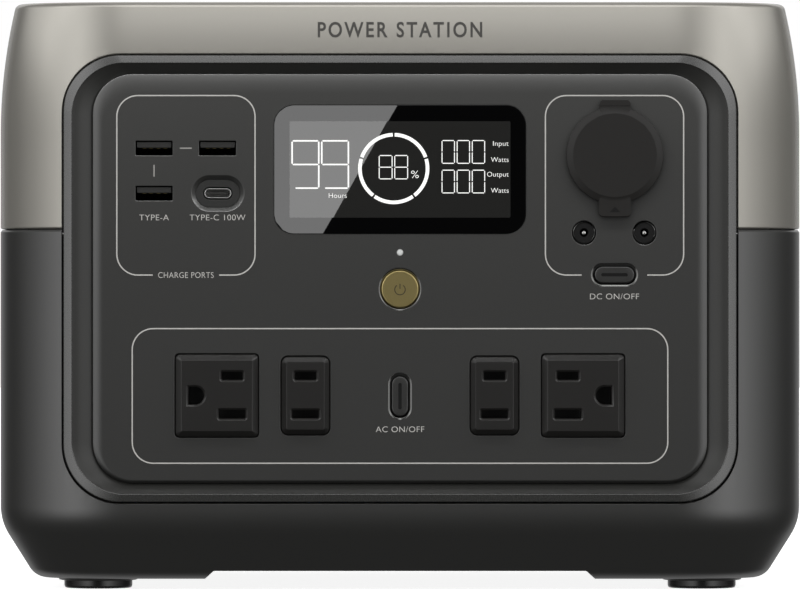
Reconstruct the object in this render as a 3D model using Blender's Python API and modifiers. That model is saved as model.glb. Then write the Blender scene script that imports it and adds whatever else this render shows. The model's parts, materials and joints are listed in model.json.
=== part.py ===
"""Portable power station: a two-part case with a socket panel in front and a carrying handle behind,
around a battery pack, an inverter and a fan. It stands on z = 0, its front faces -Y and X runs to the
right. Sizes are in millimetres, and each helper turns them into metres."""

import math

import bmesh
import bpy
from mathutils import Matrix, Vector

MM = 0.001
GAP = 0.3  # clearance between neighbouring pieces

# Case: a rounded plan, drawn in by an inset that changes with height
HALF_WIDTH = 135.0
FRONT_Y = -129.0
REAR_Y = 88.0
BASE_Z = 2.7
SEAM_Z = 121.0
TOP_Z = 197.0
WALL = 2.5
FRONT_CORNER = (46.0, 36.0)  # how far a corner's curve reaches, in x and in y
REAR_CORNER = (32.0, 32.0)
CORNER_POWER = 2.3  # 2 is an ellipse, and more is squarer
FLAT_INSET = 25.0
ARC_STEP = 18  # degrees between the rings of a rounded edge
LOWER_EDGE = [(FLAT_INSET, BASE_Z, 0.0), (11.9, BASE_Z, 7.0), (0.0, 22.5, 18.0)]  # inset, z, fillet
UPPER_EDGE = [(0.0, 166.0, 170.0), (5.2, TOP_Z, 2.2), (FLAT_INSET, TOP_Z, 0.0)]
CHANNEL_Z = 6.4  # the middle of the base is raised to here
CHANNEL_HALF = (66.5, 62.5)  # at its mouth and at its roof

# Feet and the screws that hold the two halves of the case together
FOOT_PLACES = {"front_left": (-102, -94), "front_right": (102, -94),
               "rear_left": (-102, 60), "rear_right": (102, 60)}
FOOT_RADIUS = 11.5
FOOT_TOP = 3.4
POST_PLACES = {"front_left": (-100, -72), "front_right": (100, -72),
               "rear_left": (-100, 36), "rear_right": (100, 36)}
POST_BOTTOM = 14.6
SCREW_RADIUS = 1.5
HEAD_RADIUS = 3.6

# Handle
HANDLE_HALF = 100.0
HANDLE_REAR = 130.0
HANDLE_CORNER = 26.0
HANDLE_Z = (168.0, 184.0, 195.5)  # under the grip, where the grip meets the plate, and the top
SLOT_HALF = 72.0
SLOT_Y = (91.5, 115.5)
SLOT_CORNER = 9.5
HANDLE_SCREWS = {"left": (-86, 101), "right": (86, 101)}

# Front panel, in depth from the front
OPENING = (225.8, 149.9, 19.4)  # the case's opening: width, height, corner
OPENING_Z = 104.45
BEZEL_BACK = -116.0
BEZEL_GROOVE = -124.6
PANEL_FRONT = -127.0
PANEL_BACK = -123.5
BEHIND_PANEL = PANEL_BACK + GAP
SOCKET_FRONT = -128.8
BUTTON_FRONT = -127.4
BUTTON_TRAVEL = 1.2
BUTTON_END = -117.6
BOARD_FRONT = -112.0

# Where things sit on the front panel, as (x, z)
WINDOW = (0, 140.9)
STATUS_LIGHT = (0, 113.2)
POWER_BUTTON = (0, 100.9)
AC_BUTTON = (0, 65.1)
DC_BUTTON = (71.7, 105.7)
TYPE_A_PORTS = {"upper_left": (-82.2, 148.0), "upper_right": (-61.0, 148.0), "lower": (-82.2, 132.9)}
TYPE_C_PORT = (-60.9, 132.9)
CAR_SOCKET = (71.8, 145.6)
DC_JACKS = {"left": (61.5, 119.7), "right": (81.7, 119.7)}
GROUNDED_OUTLETS = {"left": (-61.2, 65.3), "right": (61.2, 65.3)}
PLAIN_OUTLETS = {"left": (-31.6, 65.3), "right": (31.6, 65.3)}

# Openings in the sides and the back
VENT = (100.0, 72.0, 6.0)  # width, height, corner
VENT_PLACE = (2, 70)  # y, z
BAY = (84.0, 50.0, 4.0)
BAY_PLACE = (0, 71)  # x, z
BAY_FLOOR = 70.0
BAY_MOUTH = 87.6
DOOR_PIVOT = (85.6, 91.6)  # y, z
DOOR_KNUCKLE = 1.75

# Inside
FAN_SIDE = 80.0
FAN_X = (112.5, 127.5)
CELL_COUNT = 8
CELL_SIZE = (26.0, 70.0, 112.0)
CELL_PITCH = 26.5
CELL_BOTTOM = 13.0
PACK_Y = -27.0
INVERTER_Y = (24.0, 25.6)

FINISHES = {  # colour (linear), roughness, metallic
    "light_plastic": ((0.35, 0.33, 0.30), 0.45, 0.0),
    "dark_plastic": ((0.030, 0.030, 0.029), 0.50, 0.0),
    "panel_plastic": ((0.045, 0.044, 0.042), 0.45, 0.0),
    "bezel_plastic": ((0.060, 0.059, 0.057), 0.40, 0.0),
    "black_plastic": ((0.012, 0.012, 0.012), 0.50, 0.0),
    "rubber": ((0.022, 0.021, 0.020), 0.75, 0.0),
    "gold_metal": ((0.28, 0.20, 0.075), 0.35, 1.0),
    "steel": ((0.50, 0.50, 0.50), 0.30, 1.0),
    "aluminium": ((0.62, 0.62, 0.63), 0.40, 1.0),
    "screen_glass": ((0.008, 0.008, 0.009), 0.06, 0.0),
    "light_guide": ((0.75, 0.78, 0.76), 0.20, 0.0),
    "circuit_board": ((0.010, 0.085, 0.035), 0.45, 0.0),
    "cell_wrap": ((0.020, 0.100, 0.300), 0.35, 0.0),
    "ferrite": ((0.060, 0.055, 0.050), 0.60, 0.0),
    "red_cable": ((0.40, 0.012, 0.010), 0.50, 0.0),
}

SIDES = {  # how a flat outline's (u, v) and its thickness lie in the object
    "front": Matrix(((1, 0, 0, 0), (0, 0, -1, 0), (0, 1, 0, 0), (0, 0, 0, 1))),
    "side": Matrix(((0, 0, 1, 0), (1, 0, 0, 0), (0, 1, 0, 0), (0, 0, 0, 1))),
    "top": Matrix(),
}
SIDE_NORMALS = {"front": Vector((0, 1, 0)), "side": Vector((1, 0, 0)), "top": Vector((0, 0, 1))}
FACINGS = {  # the turn that points a turned solid's top that way, and the sign of its heights
    "front": (Matrix.Rotation(math.radians(90), 4, "X"), -1),
    "back": (Matrix.Rotation(math.radians(-90), 4, "X"), 1),
    "right": (Matrix.Rotation(math.radians(90), 4, "Y"), 1),
    "up": (Matrix(), 1),
}


# ---------------------------------------------------------------- scene

def clear_scene():
    for obj in list(bpy.data.objects):
        bpy.data.objects.remove(obj, do_unlink=True)


def new_collection(name):
    collection = bpy.data.collections.new(name)
    bpy.context.scene.collection.children.link(collection)
    return collection


def make_material(name):
    colour, roughness, metallic = FINISHES[name]
    material = bpy.data.materials.new(name)
    material.use_nodes = True
    shader = material.node_tree.nodes["Principled BSDF"]
    shader.inputs["Base Color"].default_value = (*colour, 1.0)
    shader.inputs["Roughness"].default_value = roughness
    shader.inputs["Metallic"].default_value = metallic
    material.diffuse_color = (*colour, 1.0)
    return material


clear_scene()
PARTS = new_collection("power_station")
HELPERS = new_collection("cutters")
MATERIALS = {name: make_material(name) for name in FINISHES}


def add_object(name, mesh, finish, matrix=Matrix()):
    """Adds a mesh as a part or, with no finish, as a helper that is not rendered."""
    obj = bpy.data.objects.new(name, mesh)
    obj.matrix_world = matrix
    if finish is None:
        HELPERS.objects.link(obj)
        obj.hide_render = True
        obj.display_type = "WIRE"
    else:
        PARTS.objects.link(obj)
        mesh.materials.append(MATERIALS[finish])
    return obj


def smooth(mesh, angle=30):
    mesh.shade_smooth()
    mesh.set_sharp_from_angle(angle=math.radians(angle))


def combine(target, tools, operation):
    for tool in tools:
        modifier = target.modifiers.new(tool.name, "BOOLEAN")
        modifier.operation = operation
        modifier.object = tool
    return target


def cut(target, *tools):
    return combine(target, tools, "DIFFERENCE")


def join(target, *tools):
    return combine(target, tools, "UNION")


def hang_on(obj, place):
    """Parents a moving piece to an empty on its joint's axis, and leaves it where it is."""
    pivot = bpy.data.objects.new(obj.name + "_pivot", None)
    pivot.location = Vector(place) * MM
    PARTS.objects.link(pivot)
    obj.parent = pivot
    obj.matrix_parent_inverse = Matrix.Translation(-pivot.location)


# ---------------------------------------------------------------- outlines

def arc(centre, radius, start, end, steps):
    """Points along an arc, with its angles in degrees."""
    turn = [math.radians(start + (end - start) * i / steps) for i in range(steps + 1)]
    return [(centre[0] + radius * math.cos(t), centre[1] + radius * math.sin(t)) for t in turn]


def circle(radius, centre=(0, 0), steps=20):
    return arc(centre, radius, 0, 360 * (steps - 1) / steps, steps - 1)


def rounded(width, height, radius, centre=(0, 0), steps=4):
    """A rectangle with round corners, anticlockwise. A pill's radius is half its short side."""
    points = []
    for quarter, (side_x, side_y) in enumerate([(1, 1), (-1, 1), (-1, -1), (1, -1)]):
        middle = (centre[0] + side_x * (width / 2 - radius), centre[1] + side_y * (height / 2 - radius))
        points += arc(middle, radius, 90 * quarter, 90 * quarter + 90, steps)
    return [p for i, p in enumerate(points) if math.dist(p, points[i - 1]) > 1e-6]


def pill(width, height, centre=(0, 0), steps=4):
    return rounded(width, height, min(width, height) / 2, centre, steps)


def grown(size, by):
    """(width, height, corner) with every side moved out by so much."""
    width, height, corner = size
    return width + 2 * by, height + 2 * by, corner + by


def filleted(corners):
    """A polyline through (x, z, radius) corners, with an arc round each inner one."""
    points = [Vector(corners[0][:2])]
    for before, here, after in zip(corners, corners[1:], corners[2:]):
        corner = Vector(here[:2])
        back = (Vector(before[:2]) - corner).normalized()
        ahead = (Vector(after[:2]) - corner).normalized()
        half = back.angle(ahead) / 2
        middle = corner + (back + ahead).normalized() * here[2] / math.sin(half)
        start = corner + back * here[2] / math.tan(half) - middle
        end = corner + ahead * here[2] / math.tan(half) - middle
        steps = max(3, round(math.degrees(start.angle(end)) / ARC_STEP))
        for i in range(steps + 1):
            spoke = (start * (1 - i / steps) + end * (i / steps)).normalized()
            points.append(middle + spoke * here[2])
    return points + [Vector(corners[-1][:2])]


def drawn_in(corners, distance):
    """The (inset, z, radius) corners of the same wall's inner face."""
    places = [Vector(corner[:2]) for corner in corners]
    normals = []
    for start, end in zip(places, places[1:]):
        along = (end - start).normalized()
        normals.append(Vector((along.y, -along.x)))
    sides = list(zip([normals[0]] + normals, normals + [normals[-1]]))
    moved = [p + (a + b) / (1 + a.dot(b)) * distance for p, (a, b) in zip(places, sides)]
    return [(p.x, p.y, max(c[2] - distance, 1.0)) for p, c in zip(moved, corners)]


# ---------------------------------------------------------------- solids

def plate(name, outline, low, high, holes=(), side="front", finish=None):
    """A flat outline with holes, made solid from low to high along the side's normal."""
    curve = bpy.data.curves.new(name, "CURVE")
    curve.dimensions = "2D"
    curve.fill_mode = "BOTH"
    curve.extrude = (high - low) / 2 * MM
    for points in [outline, *holes]:
        spline = curve.splines.new("POLY")
        spline.points.add(len(points) - 1)
        for point, (u, v) in zip(spline.points, points):
            point.co = (u * MM, v * MM, 0, 1)
        spline.use_cyclic_u = True
    guide = bpy.data.objects.new(name + "_outline", curve)
    bpy.context.scene.collection.objects.link(guide)
    graph = bpy.context.evaluated_depsgraph_get()
    mesh = bpy.data.meshes.new_from_object(guide.evaluated_get(graph))
    bpy.data.objects.remove(guide)
    work = bmesh.new()
    work.from_mesh(mesh)
    bmesh.ops.remove_doubles(work, verts=work.verts, dist=1e-6)
    bmesh.ops.recalc_face_normals(work, faces=work.faces)
    work.to_mesh(mesh)
    work.free()
    smooth(mesh)
    middle = SIDE_NORMALS[side] * (low + high) / 2 * MM
    return add_object(name, mesh, finish, Matrix.Translation(middle) @ SIDES[side])


def box(name, low, high, finish=None, edge=0.0):
    """A box between two corners, with its edges rounded by a Bevel."""
    work = bmesh.new()
    bmesh.ops.create_cube(work, size=1.0)
    low, high = Vector(low) * MM, Vector(high) * MM
    bmesh.ops.scale(work, vec=high - low, verts=work.verts)
    mesh = bpy.data.meshes.new(name)
    work.to_mesh(mesh)
    work.free()
    obj = add_object(name, mesh, finish, Matrix.Translation((low + high) / 2))
    if edge:
        bevel = obj.modifiers.new("rounded_edges", "BEVEL")
        bevel.width = edge * MM
        bevel.segments = 1
    return obj


def turned(name, profile, centre=(0, 0, 0), facing="front", finish=None, steps=24):
    """A solid turned round an axis: (radius, place along the axis), from its facing end down its
    outer side. A profile that leaves the axis out is closed into a ring."""
    turn, sign = FACINGS[facing]
    mesh = bpy.data.meshes.new(name)
    points = [(radius * MM, 0, sign * height * MM) for radius, height in profile]
    edges = [(i, i + 1) for i in range(len(points) - 1)]
    if profile[0][0] > 0:
        edges.append((len(points) - 1, 0))
    mesh.from_pydata(points, edges, [])
    obj = add_object(name, mesh, finish, Matrix.Translation(Vector(centre) * MM) @ turn)
    screw = obj.modifiers.new("turned", "SCREW")
    screw.steps = screw.render_steps = steps
    screw.use_merge_vertices = True
    screw.merge_threshold = 1e-6
    return obj


def rod(name, radius, low, high, centre, facing="front", finish=None, steps=20):
    """A plain cylinder from low to high along its axis."""
    ends = (low, high) if facing == "front" else (high, low)
    profile = [(0, ends[0]), (radius, ends[0]), (radius, ends[1]), (0, ends[1])]
    return turned(name, profile, centre, facing, finish, steps)


def loft(name, rings, finish=None, closed=False):
    """A solid skinned over rings of equally many points, capped or, when closed, joined end to end."""
    work = bmesh.new()
    rows = [[work.verts.new(Vector(point) * MM) for point in ring] for ring in rings]
    for lower, upper in zip(rows, rows[1:] + rows[:1] if closed else rows[1:]):
        for i in range(len(lower)):
            work.faces.new((lower[i - 1], lower[i], upper[i], upper[i - 1]))
    if not closed:
        work.faces.new(rows[0])
        work.faces.new(rows[-1])
    bmesh.ops.recalc_face_normals(work, faces=work.faces)
    mesh = bpy.data.meshes.new(name)
    work.to_mesh(mesh)
    work.free()
    smooth(mesh)
    return add_object(name, mesh, finish)


def cable(name, points, radius, finish):
    """A round cable along a smooth route."""
    curve = bpy.data.curves.new(name, "CURVE")
    curve.dimensions = "3D"
    curve.bevel_depth = radius * MM
    curve.bevel_resolution = 2
    curve.use_fill_caps = True
    spline = curve.splines.new("POLY")
    spline.points.add(len(points) - 1)
    for point, place in zip(spline.points, points):
        point.co = (*(Vector(place) * MM), 1)
    obj = bpy.data.objects.new(name, curve)
    PARTS.objects.link(obj)
    curve.materials.append(MATERIALS[finish])
    return obj


# ---------------------------------------------------------------- case

def case_ring(inset, z):
    """The case's outline at a height, drawn in by the inset all round."""
    points = []
    for quarter in range(4):
        reach_x, reach_y = REAR_CORNER if quarter < 2 else FRONT_CORNER
        reach_x, reach_y = reach_x - inset, reach_y - inset
        x = (HALF_WIDTH - inset - reach_x) * (1 if quarter in (0, 3) else -1)
        y = REAR_Y - inset - reach_y if quarter < 2 else FRONT_Y + inset + reach_y
        for u, v in arc((0, 0), 1, 90 * quarter, 90 * quarter + 90, 5):
            power = 2 / CORNER_POWER
            bend_x = math.copysign(abs(u) ** power, u)
            bend_y = math.copysign(abs(v) ** power, v)
            points.append((x + reach_x * bend_x, y + reach_y * bend_y, z))
    return points


def case_front(x, z):
    """The y of the case's front face at a place on it."""
    edge = filleted([*LOWER_EDGE, *UPPER_EDGE])
    above = next(i for i, point in enumerate(edge) if point.y >= z)
    low, high = edge[above - 1], edge[above]
    inset = low.x + (high.x - low.x) * (z - low.y) / (high.y - low.y)
    reach_x, reach_y = FRONT_CORNER[0] - inset, FRONT_CORNER[1] - inset
    past = max(0.0, abs(x) - (HALF_WIDTH - inset - reach_x)) / reach_x
    bend = (1 - past ** CORNER_POWER) ** (1 / CORNER_POWER)
    return FRONT_Y + inset + reach_y * (1 - bend)


def case_half(name, corners, finish=None):
    return loft(name, [case_ring(point.x, point.y) for point in filleted(corners)], finish)


def handle_outline(front):
    corner_x, corner_y = HANDLE_HALF - HANDLE_CORNER, HANDLE_REAR - HANDLE_CORNER
    return [(-HANDLE_HALF, front), (HANDLE_HALF, front),
            *arc((corner_x, corner_y), HANDLE_CORNER, 0, 90, 6),
            *arc((-corner_x, corner_y), HANDLE_CORNER, 90, 180, 6)]


def opening_cutter(name):
    outline = rounded(*OPENING, (0, OPENING_Z), 6)
    return plate(name, outline, FRONT_Y - 11, FRONT_Y + 29)


def upper_shell():
    seam = SEAM_Z + GAP / 2
    below_seam = seam - 20
    corners = [(0, seam, 0), *UPPER_EDGE]
    shell = case_half("upper_shell", corners, "light_plastic")
    cut(shell, case_half("upper_cavity", drawn_in([(0, below_seam, 0), *UPPER_EDGE], WALL)),
        opening_cutter("upper_opening"))
    plate_front = 79
    slot = rounded(2 * SLOT_HALF, SLOT_Y[1] - SLOT_Y[0], SLOT_CORNER, (0, sum(SLOT_Y) / 2))
    join(shell, plate("handle_plate", handle_outline(plate_front), HANDLE_Z[1], HANDLE_Z[2], [slot], "top"))
    for place, (x, y) in HANDLE_SCREWS.items():
        cut(shell, rod("handle_hole_" + place, 1.8, HANDLE_Z[1] - 5, HANDLE_Z[2] - 2.5, (x, y, 0), "up",
                       steps=12))
    for place, (x, y) in POST_PLACES.items():
        post = [(0, TOP_Z - 1), (5, TOP_Z - 1), (5, POST_BOTTOM), (1.8, POST_BOTTOM), (1.8, 36), (0, 36)]
        join(shell, turned("post_" + place, post, (x, y, 0), "up", steps=12))
    return shell


def lower_shell():
    seam = SEAM_Z - GAP / 2
    corners = [*LOWER_EDGE, (0, seam, 0)]
    above_seam = [*LOWER_EDGE, (0, seam + 10, 0)]
    floor = box("channel_floor", (-CHANNEL_HALF[0] - WALL, -150, -10),
                (CHANNEL_HALF[0] + WALL, 110, CHANNEL_Z + WALL))
    cavity = cut(case_half("lower_cavity", drawn_in(above_seam, WALL)), floor)
    wide, narrow = CHANNEL_HALF
    lean = (wide - narrow) / (CHANNEL_Z - BASE_Z)
    mouth = wide + lean * BASE_Z
    channel = [(-mouth, 0), (mouth, 0), (narrow, CHANNEL_Z), (-narrow, CHANNEL_Z)]
    shell = case_half("lower_shell", corners, "dark_plastic")
    cut(shell, cavity, plate("channel", channel, -150, 110), opening_cutter("lower_opening"))
    vent = rounded(*VENT, VENT_PLACE)
    cut(shell, plate("left_vent", vent, -HALF_WIDTH - 5, -HALF_WIDTH + 10, side="side"),
        plate("right_vent", vent, HALF_WIDTH - 10, HALF_WIDTH + 5, side="side"),
        plate("bay_opening", rounded(*BAY, BAY_PLACE), REAR_Y - 8, REAR_Y + 5))
    boss_top = POST_BOTTOM - GAP
    for place, (x, y) in POST_PLACES.items():
        join(shell, rod("boss_" + place, 6, BASE_Z + 1, boss_top, (x, y, 0), "up", steps=12))
        cut(shell, turned("screw_hole_" + place,
                          [(0, 20), (2, 20), (2, 8.5), (4.2, 8.5), (4.2, 0), (0, 0)], (x, y, 0), "up",
                          steps=12))
    for place, (x, y) in FOOT_PLACES.items():
        cut(shell, rod("foot_pocket_" + place, FOOT_RADIUS + 0.5, 0, FOOT_TOP + GAP, (x, y, 0), "up"))
    return shell


def feet_and_screws():
    foot = [(0, FOOT_TOP), (FOOT_RADIUS, FOOT_TOP), (FOOT_RADIUS, 0.7), (FOOT_RADIUS - 0.7, 0), (0, 0)]
    for place, (x, y) in FOOT_PLACES.items():
        turned("foot_" + place, foot, (x, y, 0), "up", "rubber")
    screw = [(0, 32), (SCREW_RADIUS, 32), (SCREW_RADIUS, 8.2), (HEAD_RADIUS, 8.2), (HEAD_RADIUS, 5.8), (0, 5.8)]
    for place, (x, y) in POST_PLACES.items():
        turned("case_screw_" + place, screw, (x, y, 0), "up", "steel", 12)


def handle_grip():
    """The soft U under the handle plate, open towards the case, with its two screws."""
    low, high = HANDLE_Z[0], HANDLE_Z[1] - GAP
    grip = plate("handle_grip", handle_outline(REAR_Y + 0.4), low, high, side="top", finish="rubber")
    slot_depth = 2 * (SLOT_Y[1] - SLOT_Y[0])
    slot = rounded(2 * SLOT_HALF, slot_depth, SLOT_CORNER, (0, SLOT_Y[1] - slot_depth / 2))
    cut(grip, plate("grip_slot", slot, low - 5, high + 5, side="top"))
    head_z = low + 3
    for place, (x, y) in HANDLE_SCREWS.items():
        hole = [(0, high + 5), (2, high + 5), (2, head_z + GAP), (4, head_z + GAP), (4, low - 5), (0, low - 5)]
        cut(grip, turned("grip_hole_" + place, hole, (x, y, 0), "up", steps=12))
        screw = [(0, 192), (SCREW_RADIUS, 192), (SCREW_RADIUS, head_z), (HEAD_RADIUS, head_z),
                 (HEAD_RADIUS, head_z - 2.4), (0, head_z - 2.4)]
        turned("handle_screw_" + place, screw, (x, y, 0), "up", "steel", 12)


# ---------------------------------------------------------------- front panel

def front_bezel():
    """The raised frame round the panel: its outer edge and its ridge follow the curved case."""
    width, height, corner = grown(OPENING, -GAP)
    proud = 1.0
    sections = [  # drawn in by x and by z, then y or, for the first ones, y from the case's face
        (0, 0, BEZEL_BACK, False), (0, 0, GAP, True), (2.9, 2.7, -proud, True), (3.4, 3.2, -proud, True),
        (9.0, 5.5, BEZEL_GROOVE, False), (9.6, 6.0, BEZEL_GROOVE, False), (9.6, 6.0, BEZEL_BACK, False)]
    rings = []
    for in_x, in_z, y, on_case in sections:
        outline = rounded(width - 2 * in_x, height - 2 * in_z, corner - (in_x + in_z) / 2,
                          (0, OPENING_Z), steps=6)
        rings.append([(x, y + (case_front(x, z) if on_case else 0), z) for x, z in outline])
    return loft("front_bezel", rings, "bezel_plastic", closed=True)


def front_panel():
    width, height, corner = OPENING
    outline = rounded(width - 2 * 10.2, height - 2 * 6.6, corner - 6, (0, OPENING_Z), steps=6)
    holes = [rounded(85.0, 43.8, 7.0, WINDOW), circle(1.4, STATUS_LIGHT, 10), circle(7.0, POWER_BUTTON, 24),
             pill(6.0, 13.8, AC_BUTTON), pill(13.8, 6.0, DC_BUTTON), pill(14.9, 9.2, TYPE_C_PORT),
             circle(13.5, CAR_SOCKET, 28), rounded(9.6, 1.7, 0.4, (CAR_SOCKET[0], 163.2), steps=2)]
    holes += [rounded(12.4, 4.9, 0.5, place, steps=3) for place in TYPE_A_PORTS.values()]
    holes += [circle(4.0, place, 16) for place in DC_JACKS.values()]
    holes += [rounded(28.3, 28.2, 1.8, place, steps=3) for place in GROUNDED_OUTLETS.values()]
    holes += [rounded(16.7, 26.7, 2.6, place, steps=4) for place in PLAIN_OUTLETS.values()]
    return plate("front_panel", outline, PANEL_FRONT, PANEL_BACK, holes, finish="panel_plastic")


def display():
    x, z = WINDOW
    plate("display_window", rounded(84.4, 43.2, 6.7, WINDOW), -127.2, -125.2, finish="screen_glass")
    module = plate("display_module", rounded(78, 37, 2, WINDOW, steps=3), -124.8, -118.6, finish="black_plastic")
    join(module, box("display_plug", (x - 9, -119.2, z - 13), (x + 9, -116.2, z - 8)))
    guide = [(0, -127.1), (1.05, -127.1), (1.05, BEHIND_PANEL), (1.9, BEHIND_PANEL),
             (1.9, BEHIND_PANEL + 0.8), (1.0, BEHIND_PANEL + 0.8), (1.0, -112.5), (0, -112.5)]
    turned("status_light", guide, (STATUS_LIGHT[0], 0, STATUS_LIGHT[1]), finish="light_guide", steps=10)


def push_button(name, outline, flange, place, finish):
    """A pressed key: its face, a flange that keeps it behind the panel and a stem to its switch."""
    button = plate(name, outline, BUTTON_FRONT, BEHIND_PANEL + 0.5, finish=finish)
    join(button, plate(name + "_flange", flange, BEHIND_PANEL, BEHIND_PANEL + 1.2),
         rod(name + "_stem", 1.6, BEHIND_PANEL + 0.6, BUTTON_END, (place[0], 0, place[1]), steps=12))
    hang_on(button, (place[0], BUTTON_FRONT, place[1]))


def buttons():
    push_button("power_button", circle(6.2, POWER_BUTTON, 24), circle(8.2, POWER_BUTTON, 20),
                POWER_BUTTON, "gold_metal")
    push_button("ac_button", pill(5.4, 13.2, AC_BUTTON), pill(8.0, 15.8, AC_BUTTON), AC_BUTTON, "panel_plastic")
    push_button("dc_button", pill(13.2, 5.4, DC_BUTTON), pill(15.8, 8.0, DC_BUTTON), DC_BUTTON, "panel_plastic")


def type_a_ports():
    """Three rectangular sockets: a steel shell, closed behind, with a tongue in its upper half."""
    back = BOARD_FRONT - GAP
    for name, (x, z) in TYPE_A_PORTS.items():
        port = plate("type_a_port_" + name, rounded(13.6, 6.1, 1.0, (x, z), steps=2), BEHIND_PANEL, back,
                     finish="steel")
        cut(port, box("type_a_hole_" + name, (x - 6.2, BEHIND_PANEL - 5, z - 2.45), (x + 6.2, back - 1.7, z + 2.45)))
        join(port, box("type_a_tongue_" + name, (x - 5.5, -121.8, z), (x + 5.5, back - 1.2, z + 1.9)))


def type_c_port():
    x, z = TYPE_C_PORT
    back = BOARD_FRONT - GAP
    port = plate("type_c_port", pill(9.45, 3.7, TYPE_C_PORT), -126.4, back, finish="steel")
    join(port, plate("type_c_collar", pill(14.3, 8.6, TYPE_C_PORT), -124.3, -122.6))
    cut(port, plate("type_c_hole", pill(8.4, 2.7, TYPE_C_PORT), -130, back - 1.5))
    join(port, box("type_c_tongue", (x - 3.3, -125.2, z - 0.35), (x + 3.3, back - 1.0, z + 0.35)))


def car_socket():
    """The round accessory socket, its rubber cap and the strip that the cap swings on."""
    x, z = CAR_SOCKET
    centre = (x, 0, z)
    barrel = [(0, -95), (2.5, -95), (2.5, -91), (10.6, -91), (10.6, -128.3), (15.2, -128.3),
              (15.2, PANEL_FRONT - GAP), (13.2, PANEL_FRONT - GAP), (13.2, -88), (0, -88)]
    turned("car_socket", barrel, centre, finish="black_plastic", steps=32)
    face, under, skirt = -129.9, -128.6, PANEL_FRONT - 0.4
    lid = [(0, face), (15.6, face), (16.2, face + 0.6), (16.2, skirt), (15.5, skirt), (15.5, under),
           (9.3, under), (9.3, -124), (8.5, -123), (0, -123)]
    cap = turned("car_socket_cap", lid, centre, finish="rubber", steps=32)
    cut(cap, box("skirt_relief", (x - 20, under - 0.2, z + 9), (x + 20, PANEL_FRONT, z + 20)))
    pull = rounded(10.6, 5.0, 1.6, (x, z - 18.1), steps=3)
    join(cap, plate("cap_pull", pull, face + 0.5, skirt),
         box("cap_tab", (x - 5.2, face + 0.1, z + 10), (x + 5.2, under - 0.4, z + 16.3)))
    hang_on(cap, (x, face, z + 16.45))
    hinge_z = z + 16.6
    strip = box("cap_hinge", (x - 5.2, -129.4, hinge_z), (x + 5.2, PANEL_FRONT - GAP, hinge_z + 1.9), "rubber")
    join(strip, box("cap_hinge_neck", (x - 4.4, -128, 162.75), (x + 4.4, PANEL_BACK + 1, 163.65)),
         box("cap_hinge_barb", (x - 4.4, BEHIND_PANEL, 161.4), (x + 4.4, BEHIND_PANEL + 1.4, 165.0)))


def dc_jacks():
    jack = [(0, -125.5), (1.05, -125.5), (1.05, -117.5), (2.75, -117.5), (2.75, -127.2), (3.7, -127.2),
            (3.7, BEHIND_PANEL), (5.0, BEHIND_PANEL), (5.0, -114), (0, -114)]
    for name, (x, z) in DC_JACKS.items():
        turned("dc_jack_" + name, jack, (x, 0, z), finish="black_plastic", steps=16)


def outlet(name, face, size, corner, slots):
    """A mains socket: a face in the panel's hole, a larger body behind it, and its contact slots."""
    x, z = face
    width, height = size
    depth = 14
    body = plate(name, rounded(width, height, corner, face, steps=3), SOCKET_FRONT, BEHIND_PANEL + 1,
                 finish="black_plastic")
    join(body, plate(name + "_body", rounded(width + 2.5, height + 2.5, corner, face, steps=2),
                     BEHIND_PANEL, -102))
    for i, outline in enumerate(slots):
        placed = [(x + u, z + v) for u, v in outline]
        cut(body, plate(f"{name}_slot_{i}", placed, SOCKET_FRONT - 3, SOCKET_FRONT + depth))


def outlets():
    for side, face in GROUNDED_OUTLETS.items():
        hand = -1 if side == "right" else 1
        ground = [(-9.55, 2.95), (-9.55, -2.95), *arc((-7.2, 0), 2.95, -90, 90, 8)]
        slots = [rounded(7.1, 3.0, 0.4, (5.1, 6.6), 2), rounded(8.9, 3.0, 0.4, (5.1, -6.2), 2), ground]
        slots = [[(u * hand, v) for u, v in slot] for slot in slots]
        outlet("grounded_outlet_" + side, face, (27.7, 27.6), 1.5, slots)
    for side, face in PLAIN_OUTLETS.items():
        slots = [rounded(7.4, 2.8, 0.4, (0, 6.5), 2), rounded(9.0, 2.9, 0.4, (0, -6.2), 2)]
        outlet("plain_outlet_" + side, face, (16.1, 26.1), 2.3, slots)


def control_board():
    """The board behind the panel, with the three switches that the buttons press."""
    back = BOARD_FRONT + 1.6
    board = plate("control_board", rounded(196, 72, 2, (0, 132), 2), BOARD_FRONT, back,
                  [circle(15, CAR_SOCKET, 28)], finish="circuit_board")
    join(board, box("board_tongue", (-13, BOARD_FRONT, 52), (13, back, 100)))
    front = BUTTON_END + BUTTON_TRAVEL + 0.1
    for name, (x, z) in {"power": POWER_BUTTON, "ac": AC_BUTTON, "dc": DC_BUTTON}.items():
        join(board, box(name + "_switch", (x - 3, front, z - 3), (x + 3, BOARD_FRONT + 0.8, z + 3)))


# ---------------------------------------------------------------- back and sides

def vent_grille(name, inner, outer):
    """A slotted grille in a side opening, with a flange inside the wall."""
    pitch = 9
    slots = [pill(84, 4.6, (VENT_PLACE[0], VENT_PLACE[1] + pitch * i), 2) for i in range(-3, 4)]
    inward = -math.copysign(1, outer)
    low, high = sorted((inner + inward, outer))
    grille = plate(name, rounded(*grown(VENT, -GAP), VENT_PLACE), low, high, slots, "side", "dark_plastic")
    low, high = sorted((inner + inward * 1.5, inner))
    window = [rounded(88, 62, 2, VENT_PLACE, 2)]
    join(grille, plate(name + "_flange", rounded(*grown(VENT, 3), VENT_PLACE), low, high, window, "side"))


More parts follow.
